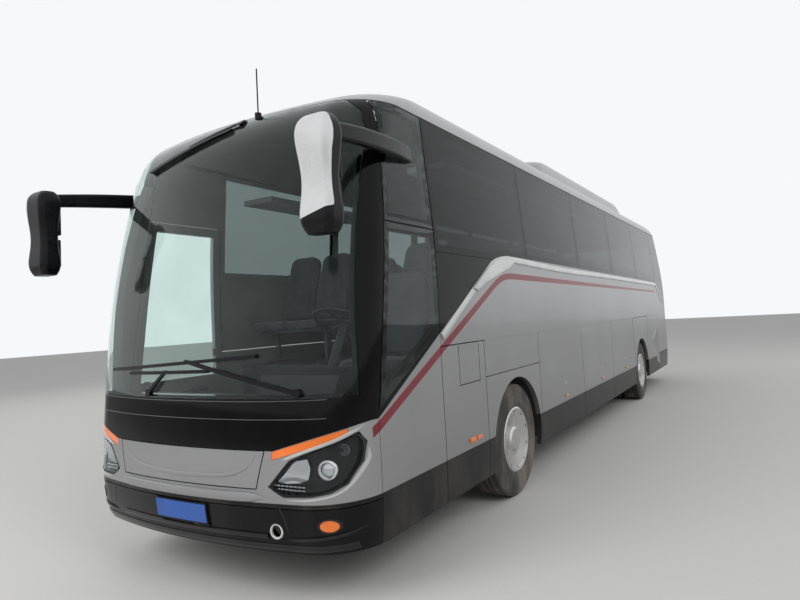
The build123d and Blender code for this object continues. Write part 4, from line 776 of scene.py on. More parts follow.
def eased(points: list[Pair], steps: int = 6) -> list[Pair]:
    """Runs a smooth curve through flat points.

    Args:
        points: points it passes, in order.
        steps: stretches between two of them.

    Returns:
        The points of the curve.
    """
    spots = [Vector(point) for point in points]
    spots = [2 * spots[0] - spots[1], *spots, 2 * spots[-1] - spots[-2]]
    curve = []
    for before, start, end, after in zip(spots, spots[1:], spots[2:], spots[3:]):
        for number in range(steps):
            share = number / steps
            square = (2 * before - 5 * start + 4 * end - after) * share ** 2
            cube = (3 * start - before - 3 * end + after) * share ** 3
            bend = (2 * start + (end - before) * share + square + cube) / 2
            curve.append((bend.x, bend.y))
    curve.append((spots[-2].x, spots[-2].y))
    return curve


def evened(points: list[Pair], step: float) -> list[Pair]:
    """Adds points on the straight stretches of a path so that none is longer than a step."""
    path = [points[0]]
    for start, end in zip(points[:-1], points[1:]):
        pieces = max(1, math.ceil((Vector(end) - Vector(start)).length / step))
        for number in range(1, pieces + 1):
            spot = Vector(start).lerp(Vector(end), number / pieces)
            path.append((spot.x, spot.y))
    return path


def bar_section(half: float, proud: float, sunk: float = 0.001) -> list[Pair]:
    """Section of a flat strip with rounded shoulders.

    Args:
        half: half its width.
        proud: how far it stands out.
        sunk: how far its back lies in the surface.

    Returns:
        The points of the section.
    """
    return [(-half, -sunk), (-half, proud * 0.45), (-half * 0.8, proud * 0.88), (-half * 0.45, proud),
            (half * 0.45, proud), (half * 0.8, proud * 0.88), (half, proud * 0.45), (half, -sunk)]


def turned(profile: tuple, centre: Vector, axis: Vector, steps: int = 64) -> Mesh:
    """Spins a section around an axis.

    Args:
        profile: radius and distance along the axis, in order.
        centre: point on the axis.
        axis: direction of the axis.
        steps: faces around.

    Returns:
        The turned form.
    """
    work = bmesh.new()
    across = axis.orthogonal().normalized()
    line = [work.verts.new(centre + across * radius + axis * along) for radius, along in profile]
    edges = [work.edges.new(pair) for pair in zip(line[:-1], line[1:])]
    bmesh.ops.spin(work, geom=line + edges, cent=centre, axis=axis, angle=math.tau, steps=steps,
                   use_merge=True)
    return work


def block(work: Mesh, centre: Vector, size: Triple, turn: Matrix | None = None, edge: float = 0.0) -> Mesh:
    """Adds a box to a mesh.

    Args:
        work: mesh that takes it.
        centre: its middle.
        size: its three sizes.
        turn: rotation, if any.
        edge: width of its bevels.

    Returns:
        The same mesh.
    """
    matrix = Matrix.Translation(centre) @ (turn or Matrix.Identity(4)) @ Matrix.Diagonal((*size, 1))
    made = bmesh.ops.create_cube(work, size=1.0, matrix=matrix)["verts"]
    if edge:
        edges = list({line for vertex in made for line in vertex.link_edges})
        bmesh.ops.bevel(work, geom=edges, offset=edge, affect="EDGES", segments=2, profile=0.5, material=-1)
    return work


def box(centre: Vector, size: Triple, edge: float = 0.0) -> Mesh:
    """One box as a mesh of its own."""
    return block(bmesh.new(), centre, size, edge=edge)


def lofted(rings: list[list[Vector]], closed: bool = True) -> Mesh:
    """Bridges rings of points into one skin and caps its ends.

    Args:
        rings: rings of points with the same count.
        closed: whether both ends get a cap.

    Returns:
        The skin.
    """
    work = bmesh.new()
    loops = []
    for ring in rings:
        points = [work.verts.new(point) for point in ring]
        loops.append([work.edges.new((points[number - 1], points[number])) for number in range(len(points))])
    for first, second in zip(loops[:-1], loops[1:]):
        bmesh.ops.bridge_loops(work, edges=first + second)
    if closed:
        for loop in (loops[0], loops[-1]):
            bmesh.ops.contextual_create(work, geom=list({vertex for edge in loop for vertex in edge.verts}))
    return work


SHELL = Hull("front_panel", "front_mask", "bumper", "lower_walls", "upper_walls", "window_frames",
             "tail_panel", "tail_bumper", "roof")


def on_side(side: int) -> Placing:
    """Placing rule for a long side: station, height and distance proud."""
    return lambda station, height, out: SHELL.side(station, height, side, out)


def both_halves(points: list[Pair]) -> list[Pair]:
    """Points from the middle to the left edge, carried across so that they run from left to right."""
    return [*reversed(points), *[(-across, height) for across, height in points if across]]


def flipped(points: tuple, side: int) -> list[Pair]:
    """Points of the left half of the nose, carried to the side asked for."""
    return [(side * across, height) for across, height in points]


def frame_of(half: float, low: float, high: float) -> tuple:
    """Corners of an upright rectangle about the middle."""
    return ((-half, low), (half, low), (half, high), (-half, high))


@dataclass
class BeltMoulding:
    """Light moulding under the windows of one side, with the wide cap where the belt levels out."""

    side: int
    # Upper edge of the belt: station and height
    edge: tuple = ((1.43, 1.585), (0.898, 1.91), (0.6, 2.085), (0.396, 2.19), (0.15, 2.236), (-0.133, 2.243),
                   (-1.526, 2.206), (-3.6, 2.196), (-5.8, 2.178), (-7.7, 2.157), (-7.97, 2.14),
                   (-8.34, 1.966), (-8.66, 1.8))
    width: float = 0.062
    proud: float = 0.011
    # Cap outline, starting at its low front corner along the belt
    cap: tuple = ((0.86, 1.925), (0.7, 2.022), (0.56, 2.1), (0.4, 2.178), (0.25, 2.214), (0.097, 2.232),
                  (-0.132, 2.238), (-0.09, 2.19), (0.078, 2.12), (0.24, 2.078), (0.407, 2.03), (0.6, 1.975),
                  (0.78, 1.9))
    cap_proud: float = 0.024
    cap_edge: float = 0.008
    seam_half: float = 0.004

    def build(self) -> None:
        """Adds the strip and its cap."""
        tag = TAGS[self.side]
        start = 0 if self.side == LEFT else 1
        path = evened(eased(list(self.edge[start:]), 5), 0.35)
        half = self.width / 2
        section = [(offset + half + self.seam_half, proud) for offset, proud in bar_section(half, self.proud)]
        strip = ribbon(path, section, on_side(self.side))
        settle(strip, f"belt_moulding_{tag}", BELT_SILVER, "silver_paint")
        cap = sheet(self.cap, 0.12, on_side(self.side), self.cap_proud, Vector((0, self.side, 0)),
                    self.cap_proud + 0.001)
        rim = [edge for edge in cap.edges if len(edge.link_faces) == 2 and edge.calc_face_angle(0.0) > 1.0]
        bmesh.ops.bevel(cap, geom=rim, offset=self.cap_edge, affect="EDGES", segments=3, profile=0.5,
                        material=-1)
        settle(cap, f"belt_cap_{tag}", BELT_SILVER, "silver_paint")


@dataclass
class NoseTrim:
    """What lies on the nose: lid crease, silver lip, brow over each lamp, mask seams and bumper relief."""

    # Paths from the centre out: distance from the centre, height
    crease: tuple = ((0.0, 0.79), (0.36, 0.804), (0.52, 0.836), (0.6, 0.885), (0.65, 0.95))
    lip: tuple = ((0.0, 0.683), (0.4, 0.684), (0.64, 0.686), (0.7, 0.684))
    brow: tuple = ((0.83, 0.91), (1.0, 0.968), (1.13, 1.013), (1.2, 1.05), (1.243, 1.086))
    mask_seams: tuple = (1.143, 1.252)
    gap_line: tuple = ((0.8, 0.628), (0.83, 0.56), (0.842, 0.49))
    ledge: tuple = ((0.0, 0.452), (0.45, 0.452), (0.7, 0.452))
    side_ledge: tuple = ((0.822, 0.44), (1.0, 0.45), (1.16, 0.47), (1.245, 0.5))
    sill: tuple = ((0.0, 0.384), (0.5, 0.384), (0.95, 0.386), (1.2, 0.39))

    def strip(self, name: str, points: tuple, half: float, proud: float, finish: Surface, slot: str,
              body: str = BODY, fade: float = 0.0) -> None:
        """Adds one strip across the whole nose.

        Args:
            name: name of the piece.
            points: path from the centre to the left.
            half: half its width.
            proud: how far it stands out.
            finish: its finish.
            slot: record's material slot.
            body: body that it rides on.
            fade: length over which its ends thin out.
        """
        path = evened(both_halves(eased(list(points), 5)), 0.05)
        settle(ribbon(path, bar_section(half, proud), SHELL.nose, fade=fade), name, finish, slot, body)

    def build(self) -> None:
        """Adds all the strips."""
        self.strip("lid_crease", self.crease, 0.014, 0.009, SILVER, "silver_paint", "front_lid", 0.25)
        self.strip("nose_lip", self.lip, 0.03, 0.02, SILVER, "silver_paint", fade=0.12)
        self.strip("bumper_ledge", self.ledge, 0.016, 0.012, TRIM_BLACK, "bumper_plastic")
        self.strip("bumper_sill", self.sill, 0.02, 0.008, TRIM_BLACK, "bumper_plastic")
        for number, height in enumerate(self.mask_seams, 1):
            self.strip(f"mask_seam_{number}", ((0.0, height), (0.6, height), (1.1, height + 0.006)), 0.0022,
                       0.0022, SEAM_GREY, "black_gloss")
        for side, tag in TAGS.items():
            for name, points, half, proud, fade, finish, slot in (
                    ("lamp_brow", self.brow, 0.01, 0.007, 0.06, BELT_SILVER, "silver_paint"),
                    ("side_ledge", self.side_ledge, 0.011, 0.012, 0.1, TRIM_BLACK, "bumper_plastic")):
                path = evened(eased(flipped(points, side), 5), 0.08)
                strip = ribbon(path, bar_section(half, proud), SHELL.nose, fade=fade)
                settle(strip, f"{name}_{tag}", finish, slot)
            gap = ribbon(evened(flipped(self.gap_line, side), 0.03), bar_section(0.003, 0.0012), SHELL.nose)
            settle(gap, f"bumper_gap_{tag}", RUBBER, "bumper_plastic")


@dataclass
class Headlamp:
    """One headlamp: black housing, bezel, reflector, ringed projector, tube, light bars, a clear cover and a
    silver lip along its lower and outer edge, which also paints that edge's highlight.
    """

    side: int
    # Outlines: distance from the centre, height
    outline: tuple = ((1.226, 1.046), (1.246, 0.99), (1.238, 0.88), (1.186, 0.764), (1.118, 0.722),
                      (1.01, 0.704), (0.835, 0.699), (0.738, 0.752), (0.88, 0.905))
    # Silver lip along the lower and outer edge: silver trim that also paints the highlight along that edge
    lip: tuple = ((1.256, 0.95), (1.252, 0.87), (1.2, 0.754), (1.126, 0.703), (1.0, 0.683), (0.86, 0.678))
    bowl: tuple = ((0.742, 0.79), (0.79, 0.852), (0.86, 0.893), (0.985, 0.915), (1.0, 0.86), (0.985, 0.795),
                   (0.93, 0.775), (0.84, 0.77))
    projector: Pair = (1.094, 0.849)
    tube: Pair = (1.165, 0.955)
    depth: float = 0.037
    # Light bars: first place, step, size of each and lift of the second row
    bar_from: Pair = (0.735, 0.742)
    bar_step: Pair = (0.028, -0.0012)
    bar_size: Triple = (0.01, 0.024, 0.008)
    bar_lift: float = 0.02
    # Sections around the outline: offset inwards, distance proud
    bezel_section: tuple = ((0.0, -0.002), (0.0, -0.03), (-0.016, -0.028), (-0.011, -0.004))
    rim_section: tuple = ((-0.001, -0.006), (-0.001, 0.0015), (0.005, 0.0035), (0.005, -0.006))
    # Sections: radius, distance along the axis
    ring_section: tuple = ((0.042, -0.012), (0.042, 0.006), (0.047, 0.011), (0.058, 0.008), (0.062, 0.0),
                           (0.062, -0.012))
    lens_section: tuple = ((0.0, 0.009), (0.014, 0.008), (0.028, 0.004), (0.04, -0.004),
                           (0.04, -0.01), (0.0, -0.01))
    tube_section: tuple = ((0.0, -0.01), (0.03, -0.01), (0.036, 0.002), (0.03, 0.006), (0.012, -0.004),
                           (0.0, -0.004))

    def add(self, work: Mesh, name: str, finish: Surface, slot: str = "lamp_glass", node: str = "") -> None:
        """Settles one piece of this lamp."""
        settle(work, f"lamp_{name}_{TAGS[self.side]}", finish, slot, node=node)

    def spot(self, across: float, height: float, proud: float) -> Vector:
        """Point near the lamp's face: distance from the centre, height and distance proud."""
        return SHELL.nose(self.side * across, height, proud)

    def facet(self, across: float, height: float, _proud: float) -> Vector:
        """Point on the hollow reflector."""
        hollow = 0.018 * math.cos((across - 0.88) * 9) * math.cos((height - 0.83) * 14)
        return self.spot(across, height, -(0.012 + hollow))

    def rounded(self) -> list[Pair]:
        """The outline with its corners eased, in short steps."""
        ring = [Vector(point) for point in evened([*self.outline, self.outline[0]], 0.03)[:-1]]
        spots = [(ring[number - 1] + 2 * spot + ring[(number + 1) % len(ring)]) / 4
                 for number, spot in enumerate(ring)]
        return [(spot.x, spot.y) for spot in spots]

    def build(self) -> None:
        """Adds the lamp's pieces in place of the solid lamp."""
        ahead = Vector((1, 0, 0))
        housing = sheet(self.outline, 0.05, self.spot, 0.003 - self.depth, ahead, 0.002)
        self.add(housing, "housing", TRIM_BLACK, node="headlamps")
        path = self.rounded()
        for name, section, finish in (("bezel", self.bezel_section, BLACK_GLOSS),
                                      ("rim", self.rim_section, RUBBER)):
            self.add(ribbon(path, section, self.spot, closed=True), name, finish)
        self.add(sheet(self.outline, 0.05, self.spot, 0.0, ahead, 0.0025), "cover", LAMP_GLASS)
        # Silver lip whose brightness paints the highlight along the lamp's lower and outer edge
        edge = evened(eased(flipped(self.lip, self.side), 6), 0.03)
        lip = ribbon(edge, bar_section(0.0075, 0.007), SHELL.nose, fade=0.12)
        self.add(lip, "lip", BELT_SILVER, "silver_paint")
        self.add(sheet(self.bowl, 0.03, self.facet, 0.0, ahead, 0.002), "reflector", CHROME)
        centre = self.spot(*self.projector, -0.02)
        axis = Vector((0.94, self.side * 0.34, 0)).normalized()
        self.add(turned(self.ring_section, centre, axis, 48), "ring", CHROME)
        self.add(turned(self.lens_section, centre, axis, 40), "lens", MIRROR_GLASS)
        self.add(turned(self.tube_section, self.spot(*self.tube, -0.026), axis, 36), "tube", SEAM_GREY)
        bars = bmesh.new()
        for lift in (0.0, self.bar_lift):
            for number in range(9):
                across, height = (start + number * step for start, step in zip(self.bar_from, self.bar_step))
                block(bars, self.spot(across, height + lift, -0.018), self.bar_size, edge=0.0015)
        self.add(bars, "bars", CHROME)


@dataclass
class NoseFittings:
    """Blank plate, pale ring of the tow socket, and the rings of the fog lamps."""

    plate_half: Pair = (0.24, 0.058)
    plate_z: float = 0.555
    carrier_rim: Pair = (0.006, 0.007)
    tow: Pair = (0.76, 0.487)
    tow_section: tuple = ((0.036, -0.01), (0.036, 0.002), (0.04, 0.004), (0.046, 0.002), (0.047, -0.01))
    fog: Pair = (1.094, 0.527)
    fog_half: Pair = (0.055, 0.041)

    def build(self) -> None:
        """Adds the fittings."""
        half, high = self.plate_half
        low, top = self.plate_z - high, self.plate_z + high
        ahead = Vector((1, 0, 0))
        wider, higher = self.carrier_rim
        plate = sheet(frame_of(half, low, top), 0.08, SHELL.nose, 0.019, ahead, 0.003)
        settle(plate, "front_plate", PLATE_BLUE, "bumper_plastic")
        corners = frame_of(half + wider, low - higher, top + higher)
        back = sheet(corners, 0.08, SHELL.nose, 0.016, ahead, 0.017)
        settle(back, "plate_back", BUMPER_BLACK, "bumper_plastic")
        bracket = box(SHELL.nose(half - 0.06, low - 0.014, 0.005), (0.012, 0.14, 0.02), 0.003)
        settle(bracket, "plate_bracket", BUMPER_BLACK, "bumper_plastic")
        ring = turned(self.tow_section, SHELL.nose(*self.tow), Vector((1, 0.12, 0)).normalized(), 40)
        settle(ring, "tow_ring", CAP_PALE, "bumper_plastic")
        for side, tag in TAGS.items():
            path = [(side * (self.fog[0] + self.fog_half[0] * math.cos(turn)),
                     self.fog[1] + self.fog_half[1] * math.sin(turn))
                    for turn in (math.tau * number / 32 for number in range(32))]
            ring = ribbon(path, bar_section(0.006, 0.006), SHELL.nose, closed=True)
            settle(ring, f"fog_ring_{tag}", TRIM_BLACK, "bumper_plastic")


@dataclass
class WheelDress:
    """One wheel position: pressed cover with slots and a raised lip, and tyres with grooves and ribs."""

    rim: str
    side: int
    # Distance of each tyre's middle from the centre
    tyres: tuple
    slots: int = 10
    slot_radius: float = 0.261
    slot_size: Triple = (0.034, 0.006, 0.011)
    lip_radius: float = 0.284
    tyre_half: float = 0.1475
    radius: float = 0.515
    grooves: tuple = (0.088, 0.03, -0.03, -0.088)
    groove_deep: float = 0.013
    # Sidewall from the bead out: radius, distance inside the widest part
    wall: tuple = ((0.29, 0.03), (0.3, 0.012), (0.325, 0.004), (0.33, 0.001), (0.36, 0.0), (0.42, 0.001),
                   (0.424, 0.004), (0.43, 0.004), (0.434, 0.002), (0.46, 0.006), (0.488, 0.012),
                   (0.503, 0.018), (0.513, 0.026))

    def build(self) -> None:
        """Adds the cover's relief and the tyres."""
        low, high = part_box(self.rim)
        centre = (low + high) / 2
        body = frame["nodes"][self.rim]["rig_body"]
        tag = self.rim.replace("rim_", "")
        out = Vector((0, self.side, 0))
        hub = Vector((centre.x, high.y if self.side == LEFT else low.y, centre.z))
        slots = bmesh.new()
        for number in range(self.slots):
            turn = Matrix.Rotation(math.tau * number / self.slots, 4, "Y")
            spot = hub - out * 0.0085 + turn.to_3x3() @ Vector((0, 0, self.slot_radius))
            block(slots, spot, self.slot_size, turn, 0.0025)
        settle(slots, f"cover_slots_{tag}", RUBBER, "wheel_steel", body)
        lip = [(self.lip_radius + offset, along) for offset, along in (
            (-0.006, -0.006), (-0.004, 0.001), (0.0, 0.0025), (0.004, 0.001), (0.006, -0.006))]
        settle(turned(lip, hub - out * 0.002, out), f"cover_lip_{tag}", COVER_STEEL, "wheel_steel", body)
        for number, across in enumerate(self.tyres, 1):
            work = turned(self.section(), Vector((centre.x, self.side * across, centre.z)), out, 72)
            settle(work, f"tyre_{tag}_{number}", TYRE_RUBBER, "tyre", body, self.rim.replace("rim", "tyre"))

    def section(self) -> list[Pair]:
        """Section of a tyre, with grooves round its tread and ribs on its shoulders."""
        right = [(radius, self.tyre_half - inset) for radius, inset in self.wall]
        floor = self.radius - self.groove_deep
        tread = []
        for groove in self.grooves:
            tread += [(self.radius, groove + 0.006), (floor, groove + 0.004), (floor, groove - 0.004),
                      (self.radius, groove - 0.006)]
        return [*right, *tread, *[(radius, -across) for radius, across in reversed(right)]]


@dataclass
class MirrorDress:
    """Mirror glasses on the rear faces of the shells, with their black rims."""

    centre_y: float = 1.368
    rear: float = 2.7385
    rim: float = 0.016
    # Centre height, half width and half height of each glass
    glasses: tuple = ((2.62, 0.078, 0.12), (2.355, 0.07, 0.095))

    def build(self) -> None:
        """Adds both mirrors' glasses."""
        for side, tag in TAGS.items():
            for number, (height, half, high) in enumerate(self.glasses, 1):
                rim = box(at(self.rear + 0.006, side * self.centre_y, height),
                          (0.02, 2 * half + self.rim, 2 * high + self.rim), 0.006)
                settle(rim, f"mirror_rim_{tag}_{number}", MIRROR_BLACK, "mirror_shell")
                glass = box(at(self.rear - 0.0035, side * self.centre_y, height), (0.002, 2 * half, 2 * high))
                settle(glass, f"mirror_glass_{tag}_{number}", MIRROR_GLASS, "mirror_shell")


@dataclass
class SeatDress:
    """Padded seats on slim frames: crowned cushions and leaning backs with a head pad, in rows."""

    first: float = 0.715
    pitch: float = 0.815
    rows: int = 12
    pair: float = 0.744
    wide: float = 0.426
    frame_wide: float = 0.868
    deck: float = 1.33
    # Station, distance from the centre, floor and width of the driver's seat
    driver: tuple = (1.4, 0.72, 1.0, 0.52)
    # Right-hand rows ahead of and behind the middle steps
    stairwell: Pair = (-5.33, -3.56)
    # Cushion: rear edge, depth, height of its middle, rise to the front, half thickness and crown
    cushion_rear: float = -0.25
    cushion_deep: float = 0.49
    cushion_z: float = 0.366
    cushion_rise: float = 0.008
    cushion_half: float = 0.046
    crown: float = 0.12
    # Back: lower edge and height; station and lean of its front and of its rear face
    back_z: float = 0.425
    back_high: float = 0.668
    back_front: Triple = (-0.16, 0.415, 0.2556)
    back_rear: Triple = (-0.29, 0.4, 0.1942)
    # Share of a cushion's depth from the rear, share of its width and of its height there
    cushion_rings: tuple = ((0.0, 0.8, 0.35), (0.02, 0.93, 0.72), (0.07, 0.98, 0.94), (0.25, 1.0, 0.97),
                            (0.5, 1.0, 0.93), (0.75, 1.0, 0.97), (0.93, 0.97, 1.0), (0.98, 0.92, 0.74),
                            (1.0, 0.8, 0.35))
    # Share of a back's height, share of its width and of its thickness there
    back_rings: tuple = ((0.0, 0.86, 0.4), (0.02, 0.94, 0.8), (0.08, 0.98, 1.0), (0.3, 1.0, 0.98),
                         (0.55, 1.0, 0.9), (0.72, 0.97, 0.84), (0.76, 0.93, 0.7), (0.8, 0.93, 0.86),
                         (0.9, 0.88, 0.94), (0.96, 0.76, 0.82), (0.99, 0.6, 0.58), (1.0, 0.46, 0.3))

    def ring(self, centre: Vector, across: Vector, deep: Vector, front: float = 0.0) -> list[Vector]:
        """One closed outline of a pad.

        Args:
            centre: its middle.
            across: half its width, as a vector.
            deep: half its thickness, as a vector.
            front: how far the middle of the front draws back, as a share of the thickness.

        Returns:
            Its points.
        """
        points = []
        for number in range(24):
            turn = math.tau * number / 24
            wide, thick = math.cos(turn), math.sin(turn)
            wide = math.copysign(abs(wide) ** 0.45, wide)
            thick = math.copysign(abs(thick) ** 0.5, thick)
            if thick > 0:
                thick *= 1.0 - front * math.cos(min(abs(wide) * 1.6, 1.0) * math.pi / 2)
            points.append(centre + across * wide + deep * thick)
        return points

    def cushion(self, station: float, middle: float, floor: float, wide: float) -> Mesh:
        """Seat cushion, crowned, its sides pulled in at the corners."""
        rings = []
        for share, broad, high in self.cushion_rings:
            place = at(station + self.cushion_rear + self.cushion_deep * share, middle,
                       floor + self.cushion_z + self.cushion_rise * share)
            thick = Vector((0, 0, self.cushion_half * high))
            rings.append(self.ring(place, Vector((0, wide / 2 * broad, 0)), thick, self.crown))
        return lofted(rings)

    def back(self, station: float, middle: float, floor: float, wide: float) -> Mesh:
        """Back pad with side bolsters and a head pad."""
        rings = []
        for share, broad, thick in self.back_rings:
            high = self.back_z + self.back_high * share
            front, rear = (start - (high - low) * lean
                           for start, low, lean in (self.back_front, self.back_rear))
            place = at(station + (front + rear) / 2, middle, floor + high)
            deep = Vector((0.97, 0.0, 0.2)) * ((front - rear) / 2 * thick)
            draw = 0.3 if share < 0.75 else 0.05
            rings.append(self.ring(place, Vector((0, wide / 2 * broad, 0)), deep, draw))
        return lofted(rings)

    def frame(self, work: Mesh, station: float, middle: float, floor: float, wide: float) -> None:
        """Two legs, their feet and the rails under the cushions of one seat or pair."""
        for side in TAGS:
            across = middle + side * (wide / 2 - 0.11)
            block(work, at(station - 0.01, across, floor + 0.165), (0.05, 0.03, 0.32), edge=0.006)
            block(work, at(station - 0.01, across, floor + 0.01), (0.34, 0.04, 0.018), edge=0.005)
        for offset in (-0.17, 0.14):
            block(work, at(station + offset, middle, floor + 0.313), (0.03, wide - 0.1, 0.026), edge=0.006)

    def places(self, side: int) -> list[Pair]:
        """Station and distance from the centre of every single seat along one wall."""
        stations = [self.first - number * self.pitch for number in range(self.rows)]
        behind, ahead = self.stairwell
        return [(station, side * self.pair + half * (self.wide / 2 + 0.006))
                for station in stations if side == LEFT or not behind < station < ahead for half in TAGS]

    def pads(self, name: str, node: str, shapes: list[Mesh]) -> None:
        """Joins pads into one piece.

        Args:
            name: name of the piece.
            node: node that it stands for.
            shapes: the single pads.
        """
        whole = bmesh.new()
        for shape in shapes:
            bmesh.ops.recalc_face_normals(shape, faces=shape.faces)
            single = bpy.data.meshes.new("single_pad")
            shape.to_mesh(single)
            shape.free()
            whole.from_mesh(single)
            bpy.data.meshes.remove(single)
        piece = settle(whole, name, SEAT_CLOTH, "seat_fabric", node=node)

    def build(self) -> None:
        """Adds every seat."""
        frames = bmesh.new()
        for side, tag in TAGS.items():
            spots = self.places(side)
            for name, pad in (("cushions", self.cushion), ("backs", self.back)):
                shapes = [pad(*spot, self.deck, self.wide) for spot in spots]
                self.pads(f"row_{name}_{tag}", "passenger_seats", shapes)
            for station in sorted({station for station, _middle in spots}):
                self.frame(frames, station, side * self.pair, self.deck, self.frame_wide)
        settle(frames, "row_frames", POST_PAINT, "post_steel", node="passenger_seats")
        self.pads("driver_cushion", "driver_seat", [self.cushion(*self.driver)])
        self.pads("driver_back", "driver_seat", [self.back(*self.driver)])
        station, middle, floor, _wide = self.driver
        base = bmesh.new()
        self.frame(base, *self.driver)
        block(base, at(station - 0.01, middle, floor + 0.15), (0.3, 0.26, 0.28), edge=0.02)
        settle(base, "driver_seat_base", POST_PAINT, "post_steel", node="driver_seat")


@dataclass
class SideDress:
    """Small parts of one side: marker lenses, flap locks and the grey corner panel at the rear."""

    side: int
    # Height, outer face, width and height of the marker lenses, and the thickness of each
    marker: tuple = (0.718, 1.2855, 0.094, 0.03)
    marker_thick: tuple = (0.0034, 0.0104, 0.0034, 0.0034, 0.0034, 0.0034)
    # Station of each marker lens and the body it rides on
    left_markers: tuple = ((1.004, BODY), (0.885, BODY), (-1.47, "hold_flap_left_1"),
                           (-3.14, "hold_flap_left_2"), (-4.63, "hold_flap_left_3"), (-7.3, "engine_flap"))
    right_markers: tuple = ((1.004, BODY), (0.885, BODY), (-1.47, "hold_flap_right_1"),
                            (-3.14, "hold_flap_right_2"), (-5.16, BODY), (-7.3, BODY))
    # Stations of the flap locks, which the right side has two of, and their height
    locks: tuple = (-1.47, -3.14, -4.63)
    lock_z: float = 0.86
    lock_section: tuple = ((0.0, 0.0025), (0.012, 0.0025), (0.016, 0.001), (0.016, -0.002), (0.0, -0.002))
    corner: tuple = ((-7.825, 1.269), (-7.23, 0.99), (-7.63, 0.557), (-7.85, 0.495))

    def build(self) -> None:
        """Adds the side's parts."""
        left, tag, out = self.side == LEFT, TAGS[self.side], Vector((0, self.side, 0))
        height, face, wide, high = self.marker
        markers = zip(self.left_markers if left else self.right_markers, self.marker_thick)
        for number, ((station, body), thick) in enumerate(markers, 1):
            lens = box(at(station, self.side * (face - thick / 2), height), (wide, thick, high), 0.0015)
            settle(lens, f"marker_lens_{tag}_{number}", AMBER, "amber_lens", body)
        for number, station in enumerate(self.locks if left else self.locks[:2], 1):
            barrel = turned(self.lock_section, SHELL.side(station, self.lock_z, self.side), out, 24)
            settle(barrel, f"flap_lock_{tag}_{number}", CHROME, "silver_paint", f"hold_flap_{tag}_{number}")
        panel = sheet(self.corner, 0.1, on_side(self.side), 0.002, out, 0.003)
        settle(panel, f"rear_corner_{tag}", CORNER_GREY, "silver_paint")
        border = ribbon(evened(self.corner[::-1], 0.1), bar_section(0.012, 0.004), on_side(self.side))
        settle(border, f"corner_border_{tag}", BELT_SILVER, "silver_paint")


@dataclass
class TailDress:
    """Rear end: grille slats of the lid, blank plate, lid handle and lamp lenses."""

    # Height and size of the blank plate and of the lid handle
    plate: tuple = (1.42, (0.008, 0.52, 0.12))
    handle: tuple = (0.78, (0.014, 0.24, 0.028))
    slat_rows: tuple = (0.86, 0.92, 0.98, 1.04, 1.1)
    slats: int = 12
    slat_half: float = 0.62
    # Distance of the lenses from the centre, their section, and the height and finish of each
    lens_y: float = 1.085
    lens_section: tuple = ((0.0, 0.004), (0.03, 0.0035), (0.048, 0.001), (0.052, -0.004), (0.0, -0.004))
    lenses: tuple = ((1.44, RED_LENS), (1.28, AMBER), (1.12, WHITE_LENS), (0.99, RED_LENS))

    def build(self) -> None:
        """Adds the rear's parts."""
        slats = bmesh.new()
        width = 2 * self.slat_half / self.slats
        for height in self.slat_rows:
            for number in range(self.slats):
                across = -self.slat_half + (number + 0.5) * width
                block(slats, SHELL.tail(across, height, 0.002), (0.006, width - 0.012, 0.03), edge=0.002)
        settle(slats, "lid_slats", TRIM_BLACK, "black_gloss", "engine_lid")
        height, size = self.plate
        plate = box(SHELL.tail(0.0, height, 0.006), size, 0.003)
        settle(plate, "rear_plate", CAP_PALE, "silver_paint", "engine_lid")
        height, size = self.handle
        handle = box(SHELL.tail(0.0, height, 0.006), size, 0.006)
        settle(handle, "lid_handle", TRIM_BLACK, "black_gloss", "engine_lid")
        for side, tag in TAGS.items():
            axis = Vector((-1, side * 0.1, 0)).normalized()
            for number, (height, finish) in enumerate(self.lenses, 1):
                lens = turned(self.lens_section, SHELL.tail(side * self.lens_y, height), axis, 32)
                settle(lens, f"rear_lens_{tag}_{number}", finish, "red_lens")


@dataclass
class RoofDress:
    """Grilles along the cooling unit and ribs on the hatches."""

    unit: str = "cooling_unit"
    grille_size: Triple = (0.5, 0.014, 0.012)
    grille_pitch: float = 0.62
    grille_tilt: float = math.radians(62)
    hatches: tuple = ("hatch_front", "hatch_rear")
    rib_size: Triple = (0.02, 0.5, 0.003)
    rib_pitch: float = 0.12

    def build(self) -> None:
        """Adds the roof's parts."""
        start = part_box(self.unit)[0].x + 0.75
        grille = bmesh.new()
        for side in TAGS:
            turn = Matrix.Rotation(-side * self.grille_tilt, 4, "X")
            for number in range(7):
                for row in range(3):
                    station = start + number * self.grille_pitch
                    spot = Vector((station, side * (0.9 - row * 0.024), 3.545 + row * 0.035))
                    block(grille, spot, self.grille_size, turn, 0.003)
        settle(grille, "unit_grilles", TRIM_BLACK, "silver_paint")
        for name in self.hatches:
            low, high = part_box(name)
            middle = (low + high) / 2
            ribs = bmesh.new()
            for number in range(-2, 3):
                spot = Vector((middle.x + number * self.rib_pitch, 0, high.z - self.rib_size[2] / 2))
                block(ribs, spot, self.rib_size, edge=0.001)
            settle(ribs, f"{name}_ribs", HATCH_PLASTIC, "hatch_plastic", frame["nodes"][name]["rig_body"])


